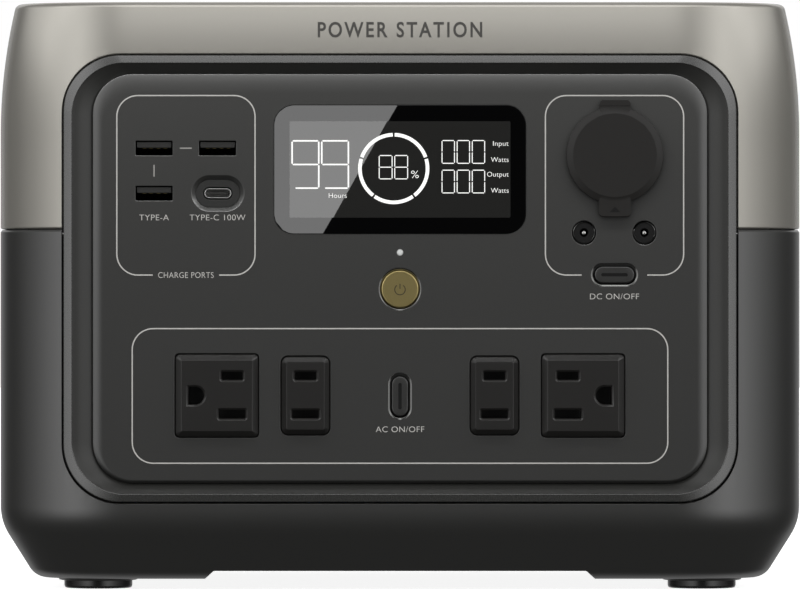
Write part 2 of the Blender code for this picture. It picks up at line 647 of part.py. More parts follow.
def input_bay():
    """The recess for the charging inlets, its door and the door's pin."""
    x, z = BAY_PLACE
    outer = grown(BAY, -GAP)
    inner = (outer[0] - 4, outer[1] - 4, 0.5)
    tub = plate("input_bay", rounded(*outer, BAY_PLACE), BAY_FLOOR - 2, BAY_MOUTH, finish="black_plastic")
    join(tub, plate("bay_flange", rounded(*grown(BAY, 3.5), BAY_PLACE), 83.6, REAR_Y - WALL - GAP))
    cut(tub, plate("bay_hollow", rounded(*inner, BAY_PLACE, 2), BAY_FLOOR, BAY_MOUTH + 5),
        box("ac_inlet_hole", (-32.1, 60, z - 10.4), (-3.9, 80, z + 10.4)),
        rod("dc_input_hole", 7.3, 60, 80, (20, 0, z), "back"),
        rod("pin_hole", 1.1, -60, 60, (0, *DOOR_PIVOT), "right", steps=16))
    pin_half = inner[0] / 2 + 1.6
    rod("input_door_pin", 0.8, -pin_half, pin_half, (0, *DOOR_PIVOT), "right", "steel", 12)

    door_half, door_low = inner[0] / 2 - GAP, z - inner[1] / 2 + GAP
    front = DOOR_PIVOT[0] + DOOR_KNUCKLE
    corner = 1.5
    sheet = [(-door_half, DOOR_PIVOT[1]), *arc((corner - door_half, corner + door_low), corner, 180, 270, 3),
             *arc((door_half - corner, corner + door_low), corner, 270, 360, 3), (door_half, DOOR_PIVOT[1])]
    door = plate("input_door", sheet, front - 2.5, front, finish="dark_plastic")
    join(door, rod("door_knuckle", DOOR_KNUCKLE, -door_half, door_half, (0, *DOOR_PIVOT), "right", steps=20))
    cut(door, rod("door_bore", 1.05, -50, 50, (0, *DOOR_PIVOT), "right", steps=16),
        plate("door_notch", pill(16, 6, (0, door_low - 0.5)), 80, 90))
    hang_on(door, (0, *DOOR_PIVOT))


def inlets():
    """The mains inlet, with its three blades, and the round charging input."""
    x, z = -18, BAY_PLACE[1]
    flange_front = BAY_FLOOR + GAP + 2
    inlet = plate("ac_inlet", rounded(27.6, 20.2, 1.5, (x, z), 2), 54, flange_front, finish="black_plastic")
    join(inlet, plate("ac_inlet_flange", rounded(31, 24, 2, (x, z), 2), BAY_FLOOR + GAP, flange_front - 0.01))
    hollow = [(x - 11.8, z - 8.1), (x + 11.8, z - 8.1), (x + 11.8, z + 3.1), (x + 6.8, z + 8.1),
              (x - 6.8, z + 8.1), (x - 11.8, z + 3.1)]
    cut(inlet, plate("ac_inlet_hollow", hollow, flange_front - 16, flange_front + 4))
    for i, (dx, dz) in enumerate([(-7, -2), (0, 2), (7, -2)]):
        join(inlet, box(f"ac_blade_{i}", (x + dx - 1, flange_front - 16.6, z + dz - 2),
                        (x + dx + 1, flange_front - 2, z + dz + 2)))
    jack = [(0, flange_front - 2), (0.9, flange_front - 2), (0.9, flange_front - 14), (4.2, flange_front - 14),
            (4.2, flange_front), (9, flange_front), (9, BAY_FLOOR + GAP), (7, BAY_FLOOR + GAP), (7, 54), (0, 54)]
    turned("dc_input", jack, (20, 0, z), "back", "black_plastic", 20)


# ---------------------------------------------------------------- inside

def fan():
    y, z = VENT_PLACE
    low, high = FAN_X
    duct = 37.8
    corners = [circle(2.2, (y + a * 35.5, z + b * 35.5), 8) for a in (-1, 1) for b in (-1, 1)]
    frame = plate("fan_frame", rounded(FAN_SIDE, FAN_SIDE, 6, VENT_PLACE, 3), low, high,
                  [circle(duct, VENT_PLACE, 28), *corners], "side", "black_plastic")
    join(frame, rod("fan_mount", 13, high - 2.4, high - 0.4, (0, y, z), "right"))
    for i in range(3):
        arm = box(f"fan_arm_{i}", (high - 2.3, -2, 10), (high - 0.5, 2, duct + 1))
        arm.matrix_world = (Matrix.Translation(Vector((0, y, z)) * MM)
                            @ Matrix.Rotation(math.radians(120 * i), 4, "X") @ arm.matrix_world)
        join(frame, arm)

    rotor = rod("fan_rotor", 12.5, low + 1, high - 3, (0, y, z), "right", "dark_plastic")
    middle, reach, blades = (low + high - 2) / 2, duct - 1.2, 7
    for i in range(blades):
        sections = []
        for radius, pitch, chord in [(10, 50, 11), (reach, 28, 15)]:
            lean = math.radians(pitch)
            along = Vector((math.sin(lean), math.cos(lean), 0)) * chord / 2
            across = Vector((math.cos(lean), -math.sin(lean), 0)) * 0.7
            centre = Vector((middle, 0, radius))
            sections.append([centre + along + across, centre - along + across,
                             centre - along - across, centre + along - across])
        blade = loft(f"fan_blade_{i}", sections)
        blade.matrix_world = (Matrix.Translation(Vector((0, y, z)) * MM)
                              @ Matrix.Rotation(math.tau * i / blades, 4, "X"))
        join(rotor, blade)
    hang_on(rotor, ((low + high) / 2, y, z))


def battery_pack():
    """The cells in their tray, with the management board on top."""
    width, depth, height = CELL_SIZE
    inner_half = CELL_PITCH * CELL_COUNT / 2 + 1.0
    tray_low, tray_wall, tray_high = 9.4, 2.0, 26.0
    outline = rounded(2 * (inner_half + tray_wall), depth + 2 + 2 * tray_wall, 3, (0, PACK_Y), 3)
    tray = plate("battery_tray", outline, tray_low, tray_high, side="top", finish="black_plastic")
    hollow = rounded(2 * inner_half, depth + 2, 1, (0, PACK_Y), 2)
    cut(tray, plate("tray_hollow", hollow, CELL_BOTTOM - GAP, tray_high + 5, side="top"))
    first = -CELL_PITCH * (CELL_COUNT - 1) / 2
    for i in range(CELL_COUNT):
        x = first + CELL_PITCH * i
        cell = box(f"battery_cell_{i + 1}", (x - width / 2, PACK_Y - depth / 2, CELL_BOTTOM),
                   (x + width / 2, PACK_Y + depth / 2, CELL_BOTTOM + height), "cell_wrap", 0.8)
        for end in (-1, 1):
            join(cell, rod(f"terminal_{i}_{end}", 3.5, CELL_BOTTOM + height - 1, CELL_BOTTOM + height + 1.4,
                           (x, PACK_Y + end * 22, 0), "up", steps=8))
    board_low = CELL_BOTTOM + height + 1.8
    board = plate("bms_board", rounded(204, 60, 2, (0, PACK_Y), 2), board_low, board_low + 1.6,
                  side="top", finish="circuit_board")
    for x in (-60, -30, 0, 30, 60):
        join(board, box(f"bms_transistor_{x}", (x - 6, PACK_Y + 8, board_low + 1), (x + 6, PACK_Y + 18, board_low + 6)))


def inverter():
    front, back = INVERTER_Y
    board = plate("inverter_board", rounded(190, 106, 2, (0, 67), 2), front, back, finish="circuit_board")
    for x in (-64, -40, -16, 8):
        join(board, rod(f"capacitor_{x}", 7, front - 10.5, front + 0.8, (x, 0, 96), steps=16))

    left, right, base, tips = 42, 92, back + GAP, 50
    fins, fin, web = 8, 2.0, 4.0
    pitch = (right - left - fin) / (fins - 1)
    comb = [(left, base), (right, base)]
    for i in reversed(range(fins)):
        x = left + pitch * i
        comb += [(x + fin, tips), (x, tips)]
        if i:
            comb += [(x, base + web), (x - pitch + fin, base + web)]
    plate("heat_sink", comb, 30, 104, side="top", finish="aluminium")

    core = box("transformer", (-90, 34, 25), (-50, 54, 65), "ferrite", 0.8)
    join(core, rod("winding", 17, 31, 59, (-70, 44, 0), "up"))


def battery_leads():
    """Two stout leads from the management board over to the inverter."""
    start_z = CELL_BOTTOM + CELL_SIZE[2] + 1.8 + 1.6 + GAP
    radius, bend, face, straight = 2.4, 8.0, INVERTER_Y[0] - GAP, 2.0
    for name, x, finish in (("positive", 74, "red_cable"), ("negative", 86, "rubber")):
        y, top, down = PACK_Y + 22, start_z + 5 + bend, 108
        up_over = arc((y + bend, top - bend), bend, 180, 90, 5)
        over_down = arc((face - straight - 2 * bend, top - bend), bend, 90, 0, 5)
        into_board = arc((face - straight, down + bend), bend, 180, 270, 5)
        route = [(y, start_z), *up_over, *over_down, *into_board, (face, down)]
        cable("battery_lead_" + name, [(x, v, w) for v, w in route], radius, finish)


upper_shell()
lower_shell()
feet_and_screws()
handle_grip()
front_bezel()
front_panel()
display()
buttons()
type_a_ports()
type_c_port()
car_socket()
dc_jacks()
outlets()
control_board()
vent_grille("intake_grille", -HALF_WIDTH + WALL + GAP, -HALF_WIDTH + GAP)
vent_grille("exhaust_grille", HALF_WIDTH - WALL - GAP, HALF_WIDTH - GAP)
input_bay()
inlets()
fan()
battery_pack()
inverter()
battery_leads()
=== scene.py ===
"""The looks of the portable power station: finely shaped shells, panel, sockets, buttons and printed marks
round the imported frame, with procedural materials, soft studio light and a camera level with the front.
Sizes are in millimetres along the frame's own axes, and the helpers turn them into metres."""

import json
import math

import bmesh
import bpy
from mathutils import Matrix, Vector
from mathutils.geometry import delaunay_2d_cdt


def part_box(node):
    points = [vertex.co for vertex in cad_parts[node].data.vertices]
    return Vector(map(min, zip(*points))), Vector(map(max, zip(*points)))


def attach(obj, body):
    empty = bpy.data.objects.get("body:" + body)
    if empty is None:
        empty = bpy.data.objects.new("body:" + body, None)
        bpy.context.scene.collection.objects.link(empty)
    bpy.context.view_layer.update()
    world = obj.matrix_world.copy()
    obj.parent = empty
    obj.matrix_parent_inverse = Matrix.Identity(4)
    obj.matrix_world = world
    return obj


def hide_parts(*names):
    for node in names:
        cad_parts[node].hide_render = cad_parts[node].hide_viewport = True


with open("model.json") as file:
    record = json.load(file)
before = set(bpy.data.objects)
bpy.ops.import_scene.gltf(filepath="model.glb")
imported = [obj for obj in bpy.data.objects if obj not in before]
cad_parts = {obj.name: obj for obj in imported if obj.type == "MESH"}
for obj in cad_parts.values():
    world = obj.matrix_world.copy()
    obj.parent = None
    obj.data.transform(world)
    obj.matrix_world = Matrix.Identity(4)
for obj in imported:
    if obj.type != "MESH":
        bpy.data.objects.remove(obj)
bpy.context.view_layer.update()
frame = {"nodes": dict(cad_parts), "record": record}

MM = 0.001
GAP = 0.3
AXES = {"front": (0, 2, 1), "side": (1, 2, 0), "top": (0, 1, 2)}  # the object's axes for u, v and depth
CORNER_STEPS = 20
STRAIGHT_STEPS = 14
FILLET_STEP = 4  # degrees between the rings of a rounded edge
BROAD_STEP = 1  # the same, where the radius is over BROAD_RADIUS
BROAD_RADIUS = 100
MOUTH_STEPS = 4
SMOOTH_ANGLE = 32  # degrees up to which neighbouring faces are shaded as one


def low(node):
    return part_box(node)[0] / MM


def high(node):
    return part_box(node)[1] / MM


def centre(node):
    """The middle of a node as seen from the front: (x, z)."""
    middle = (low(node) + high(node)) / 2
    return middle.x, middle.z


# Case, as the CAD has it
HALF_WIDTH = high("lower_shell").x
FRONT_Y = low("lower_shell").y
REAR_Y = high("lower_shell").y
SEAM_Z = high("lower_shell").z + GAP / 2
TOP_Z = high("upper_shell").z
WALL = 2.5
FRONT_CORNER = (46.0, 36.0)
REAR_CORNER = (32.0, 32.0)
CORNER_POWER = 2.3
FLAT_INSET = 25.0
BASE_Z = 3.6  # the base between the foot bosses
BOSS_Z = 2.7
LOWER_EDGE = [(FLAT_INSET, BASE_Z, 0.0), (11.9, BASE_Z, 7.0), (0.0, 22.5, 18.0)]  # inset, z, fillet
UPPER_EDGE = [(0.0, 174.3, 186.0), (5.2, TOP_Z, 2.2), (FLAT_INSET, TOP_Z, 0.0)]
POST_BOTTOM = 14.6  # where the upper cover's screw posts end
CHANNEL_Z = 6.4
CHANNEL_HALF = (66.5, 62.5)

# Handle
PLATE_HALF, PLATE_REAR, PLATE_CORNER = 100.0, 130.0, 26.0
SLOT_HALF, SLOT_REAR, SLOT_CORNER = 72.0, 115.5, 9.5
SLOT_DEPTH = 24

# Sides and back
VENT = (100, 72, 6)  # width, height and corner of the openings for the grilles
VENT_PLACE = (2, 70)  # the middle of both grilles and of the fan, along y and z
BAY = (84, 50, 4)
BAY_PLACE = (0, 71)  # the middle of the charging bay, along x and z
INLET_PLACE = (-18, 71)
DOOR_PIVOT_Y = 85.6
DOOR_PIVOT_Z = 91.6

# Front
OPENING = (225.8, 149.9, 19.4)
OPENING_Z = 104.45
BEZEL_GROOVE = -125.2
PANEL_FRONT = low("front_panel").y
PANEL_BACK = high("front_panel").y
FLANGE_Y = -123.2  # the front of the flanges behind the panel
CAP_NECK_Z = 163.2  # where the cap's hinge strip passes through the panel
PRINT = 0.05  # how thick the printed marks are
SIDES = ("left", "right")
TYPE_A = ("upper_left", "upper_right", "lower")


# ---------------------------------------------------------------- outlines

def arc(middle, radius, start, end, steps):
    """Points along an arc, with its angles in degrees."""
    turns = [math.radians(start + (end - start) * i / steps) for i in range(steps + 1)]
    return [(middle[0] + radius * math.cos(t), middle[1] + radius * math.sin(t)) for t in turns]


def circle(radius, middle=(0, 0), steps=64):
    return arc(middle, radius, 0, 360 - 360 / steps, steps - 1)


def rounded(width, height, radius, middle=(0, 0), steps=10):
    """A rectangle with round corners, anticlockwise. A pill's radius is half its short side."""
    points = []
    for quarter, (side_u, side_v) in enumerate([(1, 1), (-1, 1), (-1, -1), (1, -1)]):
        pivot = (middle[0] + side_u * (width / 2 - radius), middle[1] + side_v * (height / 2 - radius))
        points += arc(pivot, radius, 90 * quarter, 90 * quarter + 90, steps)
    return [p for i, p in enumerate(points) if math.dist(p, points[i - 1]) > 1e-6]


def pill(width, height, middle=(0, 0), steps=14):
    return rounded(width, height, min(width, height) / 2, middle, steps)


def grown(size, by):
    """A (width, height, radius) that is larger by so much on every side."""
    width, height, radius = size
    return width + 2 * by, height + 2 * by, radius + by


def offset(outline, by):
    """An anticlockwise outline moved outwards by so much, or inwards where it is negative."""
    moved = []
    for i, here in enumerate(outline):
        before, after = outline[i - 1], outline[(i + 1) % len(outline)]
        back = Vector((here[0] - before[0], here[1] - before[1])).normalized()
        ahead = Vector((after[0] - here[0], after[1] - here[1])).normalized()
        out = Vector((back.y + ahead.y, -back.x - ahead.x))
        out *= 2 * by / out.length_squared
        moved.append((here[0] + out.x, here[1] + out.y))
    return moved


def stroke(path, width):
    """The outline of a line of that width along a path."""
    left, right = [], []
    for i, here in enumerate(path):
        before, after = path[max(i - 1, 0)], path[min(i + 1, len(path) - 1)]
        along = Vector((after[0] - before[0], after[1] - before[1])).normalized() * width / 2
        left.append((here[0] - along.y, here[1] + along.x))
        right.append((here[0] + along.y, here[1] - along.x))
    return right + left[::-1]


def filleted(corners):
    """A polyline through (u, v, radius) corners, with an arc round each inner one."""
    points = [Vector(corners[0][:2])]
    for before, here, after in zip(corners, corners[1:], corners[2:]):
        corner = Vector(here[:2])
        if not here[2]:
            points.append(corner)
            continue
        back = (Vector(before[:2]) - corner).normalized()
        ahead = (Vector(after[:2]) - corner).normalized()
        half = back.angle(ahead) / 2
        pivot = corner + (back + ahead).normalized() * here[2] / math.sin(half)
        start = corner + back * here[2] / math.tan(half) - pivot
        end = corner + ahead * here[2] / math.tan(half) - pivot
        step = BROAD_STEP if here[2] > BROAD_RADIUS else FILLET_STEP
        steps = max(3, round(math.degrees(start.angle(end)) / step))
        for i in range(steps + 1):
            spoke = (start * (1 - i / steps) + end * (i / steps)).normalized()
            points.append(pivot + spoke * here[2])
    return points + [Vector(corners[-1][:2])]


def drawn_in(corners, distance):
    """The (inset, z, radius) corners of the same wall's inner face."""
    places = [Vector(corner[:2]) for corner in corners]
    normals = []
    for start, end in zip(places, places[1:]):
        along = (end - start).normalized()
        normals.append(Vector((along.y, -along.x)))
    sides = list(zip([normals[0]] + normals, normals + [normals[-1]]))
    moved = [p + (a + b) / (1 + a.dot(b)) * distance for p, (a, b) in zip(places, sides)]
    return [(p.x, p.y, max(c[2] - distance, 1.0)) for p, c in zip(moved, corners)]


# ---------------------------------------------------------------- rings: an outline at a depth

def rolled(outline, face, back, radius, steps=5):
    """The rings of a block with a round edge, from its face to its back."""
    sign = math.copysign(1, back - face)
    rings = []
    for i in range(steps + 1):
        turn = math.radians(90 * i / steps)
        inset = radius * (1 - math.sin(turn))
        rings.append((offset(outline, -inset), face + sign * radius * (1 - math.cos(turn))))
    return rings + [(outline, back)]


def rolled_both(outline, face, back, radius):
    """The rings of a block whose two edges are round."""
    middle = (face + back) / 2
    near = rolled(outline, face, middle, radius)
    far = rolled(outline, back, middle, radius)
    return near[:-1] + far[-2::-1]


def mouth(outline, face, back, radius):
    """The rings of a hole with a round mouth, from the face inwards."""
    sign = math.copysign(1, back - face)
    rings = []
    for i in range(MOUTH_STEPS + 1):
        turn = math.radians(90 * i / MOUTH_STEPS)
        rings.append((offset(outline, radius * (1 - math.sin(turn))),
                      face + sign * radius * (1 - math.cos(turn))))
    return rings + [(outline, back)]


def chamfered(outline, face, back, width, depth, edge=0.12):
    """The rings of a hole with a sloping rim, whose two creases are slightly round."""
    sign = math.copysign(1, back - face)
    return [(offset(outline, width + edge), face), (offset(outline, width), face + sign * edge * 0.4),
            (offset(outline, edge), face + sign * (depth - edge * 0.5)),
            (outline, face + sign * (depth + edge)), (outline, back)]


# ---------------------------------------------------------------- meshes

def skin(work, rings, closed=False):
    """Joins rings of equally many points, in mm, with quads, and gives the rings' vertices."""
    rows = [[work.verts.new(Vector(point) * MM) for point in ring] for ring in rings]
    for lower, upper in zip(rows, rows[1:] + rows[:1] if closed else rows[1:]):
        for i in range(len(lower)):
            work.faces.new((lower[i - 1], lower[i], upper[i], upper[i - 1]))
    return rows


def odd_crossings(point, loops):
    """True if a point lies inside an odd number of loops."""
    crossings = 0
    for loop in loops:
        for a, b in zip(loop, loop[1:] + loop[:1]):
            if (a.y > point.y) != (b.y > point.y):
                crossings += point.x < a.x + (point.y - a.y) * (b.x - a.x) / (b.y - a.y)
    return crossings % 2 == 1


def fill(work, loops, side):
    """Closes the flat face inside the first loop of vertices and outside the others."""
    u, v, _ = AXES[side]
    verts = [vert for loop in loops for vert in loop]
    flat = [[Vector((vert.co[u], vert.co[v])) / MM for vert in loop] for loop in loops]
    edges = []
    for loop in loops:
        start = len(edges)
        edges += [(start + i, start + (i + 1) % len(loop)) for i in range(len(loop))]
    points, _, faces, sources, _, _ = delaunay_2d_cdt([p for loop in flat for p in loop], edges, [], 0, 1e-5)
    for face in faces:
        middle = sum((points[i] for i in face), Vector((0, 0))) / len(face)
        if odd_crossings(middle, flat):
            work.faces.new([verts[sources[i][0]] for i in face])


def to_mesh(work, name, angle=SMOOTH_ANGLE):
    """Turns the work into a mesh whose normals point outwards, with its creases sharp."""
    bmesh.ops.recalc_face_normals(work, faces=work.faces)
    if work.calc_volume(signed=True) < 0:
        bmesh.ops.reverse_faces(work, faces=work.faces)
    mesh = bpy.data.meshes.new(name)
    work.to_mesh(mesh)
    work.free()
    mesh.shade_smooth()
    mesh.set_sharp_from_angle(angle=math.radians(angle))
    return mesh


def add_rings(work, rings, holes=(), side="front"):
    """A closed body from rings, each an (outline, depth), with holes that end blind or go right through."""
    def placed(ring):
        points = []
        for across, up in ring[0]:
            point = [0, 0, 0]
            point[AXES[side][0]], point[AXES[side][1]], point[AXES[side][2]] = across, up, ring[1]
            points.append(point)
        return points

    outer = skin(work, [placed(ring) for ring in rings])
    inner = [skin(work, [placed(ring) for ring in hole]) for hole in holes]
    through = [rows for rows, hole in zip(inner, holes) if abs(hole[-1][1] - rings[-1][1]) < 1e-6]
    fill(work, [outer[0], *(rows[0] for rows in inner)], side)
    fill(work, [outer[-1], *(rows[-1] for rows in through)], side)
    for rows in inner:
        if rows not in through:
            fill(work, [rows[-1]], side)


def ringed(name, rings, holes=(), side="front"):
    """A mesh of one closed body from rings."""
    work = bmesh.new()
    add_rings(work, rings, holes, side)
    return to_mesh(work, name)


def stack(name, bodies):
    """One mesh of several closed bodies, each a list of rings."""
    work = bmesh.new()
    for rings in bodies:
        add_rings(work, rings)
    return to_mesh(work, name)


def loft(name, rings, closed=False):
    """A body skinned over rings of points in space, capped at its level ends unless it is closed."""
    work = bmesh.new()
    rows = skin(work, rings, closed)
    if not closed:
        fill(work, [rows[0]], "top")
        fill(work, [rows[-1]], "top")
    return to_mesh(work, name)


def turned(profile, middle=(0, 0), steps=64):
    """Rings for a round body, from (radius, depth) pairs."""
    return [(circle(radius, middle, steps), depth) for radius, depth in profile]


def prism(outline, *depths):
    """Rings of one outline at several depths, for a body with straight sides."""
    return [(outline, depth) for depth in depths]


def round_bars(name, profile, spots, steps=64):
    """Upright round bodies of one profile at several places."""
    return [ringed(f"{name}_{i}", turned(profile, place, steps), side="top") for i, place in enumerate(spots)]


def helper(mesh):
    """An object that only shapes another one."""
    obj = bpy.data.objects.new(mesh.name, mesh)
    bpy.context.scene.collection.objects.link(obj)
    return obj


def shaped(mesh, cuts=(), joins=()):
    """The mesh with others cut from it or joined to it."""
    obj = helper(mesh)
    tools = []
    for operation, others in (("UNION", joins), ("DIFFERENCE", cuts)):
        for other in others:
            tools.append(helper(other))
            modifier = obj.modifiers.new(other.name, "BOOLEAN")
            modifier.operation = operation
            modifier.object = tools[-1]
    graph = bpy.context.evaluated_depsgraph_get()
    result = bpy.data.meshes.new_from_object(obj.evaluated_get(graph))
    result.name = mesh.name
    for tool in [obj, *tools]:
        bpy.data.objects.remove(tool)
    result.shade_smooth()
    result.set_sharp_from_angle(angle=math.radians(SMOOTH_ANGLE))
    return result


# ---------------------------------------------------------------- materials

DRIFTS_PER_METRE = 14  # how often a surface's colour drifts


def node(tree, kind, inputs, **settings):
    made = tree.nodes.new("ShaderNode" + kind)
    for name, value in settings.items():
        setattr(made, name, value)
    for name, value in inputs.items():
        if isinstance(value, bpy.types.NodeSocket):
            tree.links.new(value, made.inputs[name])
        else:
            made.inputs[name].default_value = value
    return made


def blend_colours(tree, factor, first, second):
    mix = node(tree, "Mix", {}, data_type="RGBA")
    for index, value in ((0, factor), (6, first), (7, second)):
        if isinstance(value, bpy.types.NodeSocket):
            tree.links.new(value, mix.inputs[index])
        elif index == 0:
            mix.inputs[index].default_value = value
        else:
            mix.inputs[index].default_value = (*value, 1.0)
    return mix.outputs[2]


def make_material(name, colour, roughness, metallic=0.0, grain=(1800, 0.03), mottle=0.05, wear=0.0,
                  specular=0.5, stretch=(1, 1, 1)):
    """A moulded, cast or brushed surface: its colour drifts slowly, its gloss and its height vary with a
    fine grain (how many to the metre, and how deep in mm), and its convex edges are rubbed lighter."""
    material = bpy.data.materials.new(name)
    material.use_nodes = True
    tree = material.node_tree
    shader = tree.nodes["Principled BSDF"]
    place = node(tree, "TexCoord", {}).outputs["Object"]
    along = node(tree, "Mapping", {"Vector": place, "Scale": stretch}).outputs["Vector"]
    cloud = node(tree, "TexNoise", {"Vector": place, "Scale": DRIFTS_PER_METRE, "Detail": 5.0}).outputs["Fac"]
    speck = node(tree, "TexNoise", {"Vector": along, "Scale": grain[0], "Detail": 3.0}).outputs["Fac"]
    darker = [c * (1 - mottle) for c in colour]
    lighter = [c * (1 + mottle) for c in colour]
    base = blend_colours(tree, cloud, darker, lighter)
    if wear:
        edges = node(tree, "NewGeometry", {}).outputs["Pointiness"]
        rubbed = node(tree, "MapRange", {"Value": edges, "From Min": 0.66, "From Max": 0.80, "To Max": wear})
        broken = node(tree, "Math", {0: rubbed.outputs["Result"], 1: speck}, operation="MULTIPLY")
        base = blend_colours(tree, broken.outputs["Value"], base, [min(1, c * 1.8 + 0.03) for c in colour])
    tree.links.new(base, shader.inputs["Base Color"])
    gloss = node(tree, "MapRange", {"Value": speck, "From Min": 0.3, "From Max": 0.7,
                                    "To Min": roughness * 0.96, "To Max": min(1, roughness * 1.04)})
    tree.links.new(gloss.outputs["Result"], shader.inputs["Roughness"])
    bump = node(tree, "Bump", {"Height": speck, "Strength": 1.0, "Distance": grain[1] * MM})
    tree.links.new(bump.outputs["Normal"], shader.inputs["Normal"])
    shader.inputs["Metallic"].default_value = metallic
    shader.inputs["Specular IOR Level"].default_value = specular
    return material


def glowing(name, colour, strength):
    """A lit mark: evenly bright, with a faint drift as in a real display."""
    material = make_material(name, colour, 0.3, mottle=0.02, grain=(900, 0.005))
    shader = material.node_tree.nodes["Principled BSDF"]
    shader.inputs["Emission Color"].default_value = (*colour, 1.0)
    shader.inputs["Emission Strength"].default_value = strength
    return material


SURFACES = {  # colour, roughness, metallic, grain, mottle, wear, specular, stretch
    "light_shell": ((0.293, 0.282, 0.254), 0.26, 0.5, (1500, 0.0006), 0.02, 0.2),
    "dark_shell": ((0.0125, 0.0125, 0.0114), 0.33, 0.0, (1300, 0.008), 0.06, 0.2, 1.0),
    "panel": ((0.0130, 0.0130, 0.0121), 0.34, 0.0, (2000, 0.003), 0.04, 0.15, 0.78),
    "bezel": ((0.020, 0.020, 0.0187), 0.27, 0.0, (2000, 0.0003), 0.02, 0.04, 1.0),
    "bezel_slope": ((0.021, 0.021, 0.0196), 0.38, 0.0, (2000, 0.001), 0.04, 0.15, 0.33),
    "black_plastic": ((0.0095, 0.0089, 0.0082), 0.33, 0.0, (1600, 0.010), 0.08, 0.25),
    "deep_black": ((0.004, 0.004, 0.004), 0.5, 0.0, (1600, 0.006), 0.08, 0.0, 0.2),
    # painted shade: the USB-A ports' black plastic is made darker still and nearly without gloss, so that
    # their hollows look as black as deep shade
    "cavity": ((0.0012, 0.0012, 0.0012), 0.7, 0.0, (1600, 0.006), 0.08, 0.0, 0.05),
    "rubber": ((0.0090, 0.0082, 0.0073), 0.5, 0.0, (1100, 0.010), 0.08, 0.15, 0.3),
    "foot_rubber": ((0.012, 0.012, 0.0115), 0.24, 0.0, (900, 0.004), 0.08, 0.1),
    "steel": ((0.50, 0.50, 0.49), 0.28, 1.0, (900, 0.006), 0.04, 0.2, 0.5, (1, 1, 18)),
    "dark_chrome": ((0.12, 0.12, 0.117), 0.14, 1.0, (900, 0.0005), 0.03, 0.1),
    "gold_metal": ((0.40, 0.325, 0.140), 0.34, 1.0, (500, 0.003), 0.05, 0.4, 0.5, (1, 1, 14)),
    "window": ((0.0008, 0.0008, 0.0009), 0.005, 0.0, (300, 0.00001), 0.1, 0.0, 0.25),
    "screen": ((0.0145, 0.0145, 0.0137), 0.005, 0.0, (300, 0.00001), 0.03, 0.0, 0.34),
    "ink": ((0.47, 0.462, 0.44), 0.5, 0.0, (2500, 0.01), 0.05),
    "faint_ink": ((0.27, 0.265, 0.25), 0.5, 0.0, (2500, 0.01), 0.05),
    "dark_ink": ((0.030, 0.028, 0.024), 0.45, 0.1, (2500, 0.01), 0.05),
    "sign": ((0.035, 0.028, 0.012), 0.5, 0.3, (2500, 0.01), 0.05),
    "circuit_board": ((0.010, 0.085, 0.035), 0.42, 0.0, (400, 0.02), 0.2),
    "aluminium": ((0.62, 0.62, 0.63), 0.36, 1.0, (700, 0.01), 0.04, 0.2, 0.5, (1, 1, 12)),
    "ferrite": ((0.060, 0.055, 0.050), 0.6, 0.0, (900, 0.05), 0.12, 0.3),
    "cell_wrap": ((0.020, 0.100, 0.300), 0.33, 0.0, (500, 0.02), 0.05, 0.2),
    "red_cable": ((0.40, 0.012, 0.010), 0.5, 0.0, (1200, 0.02), 0.06),
    "black_cable": ((0.022, 0.021, 0.020), 0.5, 0.0, (1200, 0.02), 0.06),
}
FINISHES = {name: make_material(name, *values) for name, values in SURFACES.items()}
FINISHES["light_guide"] = glowing("light_guide", (0.40, 0.41, 0.40), 0.50)
FINISHES["lit"] = glowing("lit", (0.5, 0.5, 0.49), 1.3)
RECORD_SLOTS = {part["node"]: part["material_slot"] for part in frame["record"]["subparts"]}


def piece(mesh, finish, node_name=None, body="case", slot=None):
    """Adds a mesh as a visible piece that rides on a body and, where it says so, stands for a CAD node."""
    obj = bpy.data.objects.new(mesh.name, mesh)
    bpy.context.scene.collection.objects.link(obj)
    mesh.materials.clear()
    mesh.materials.append(FINISHES[finish])
    weighted = obj.modifiers.new("even_shading", "WEIGHTED_NORMAL")
    weighted.keep_sharp = True
    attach(obj, body)
    if node_name:
        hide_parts(node_name)
        slot = slot or RECORD_SLOTS[node_name]
    return obj


# ---------------------------------------------------------------- case

def straight_end(quarter, inset, z):
    """Where the straight side after a corner of the case's outline ends."""
    ends = [(REAR_CORNER[0] - HALF_WIDTH, REAR_Y - inset), (inset - HALF_WIDTH, FRONT_Y + FRONT_CORNER[1]),
            (HALF_WIDTH - FRONT_CORNER[0], FRONT_Y + inset), (HALF_WIDTH - inset, REAR_Y - REAR_CORNER[1])]
    return (*ends[quarter], z)


def case_ring(inset, z):
    """The case's outline at a height, drawn in by the inset all round."""
    points = []
    for quarter in range(4):
        reach_x, reach_y = REAR_CORNER if quarter < 2 else FRONT_CORNER
        reach_x, reach_y = reach_x - inset, reach_y - inset
        x = (HALF_WIDTH - inset - reach_x) * (1 if quarter in (0, 3) else -1)
        y = REAR_Y - inset - reach_y if quarter < 2 else FRONT_Y + inset + reach_y
        for u, v in arc((0, 0), 1, 90 * quarter, 90 * quarter + 90, CORNER_STEPS):
            power = 2 / CORNER_POWER
            bend_x = math.copysign(abs(u) ** power, u)
            bend_y = math.copysign(abs(v) ** power, v)
            points.append((x + reach_x * bend_x, y + reach_y * bend_y, z))
        start = Vector(points[-1])
        end = Vector(straight_end(quarter, inset, z))
        points += [tuple(start.lerp(end, i / STRAIGHT_STEPS)) for i in range(1, STRAIGHT_STEPS)]
    return points


CASE_EDGE = filleted([*LOWER_EDGE, *UPPER_EDGE])


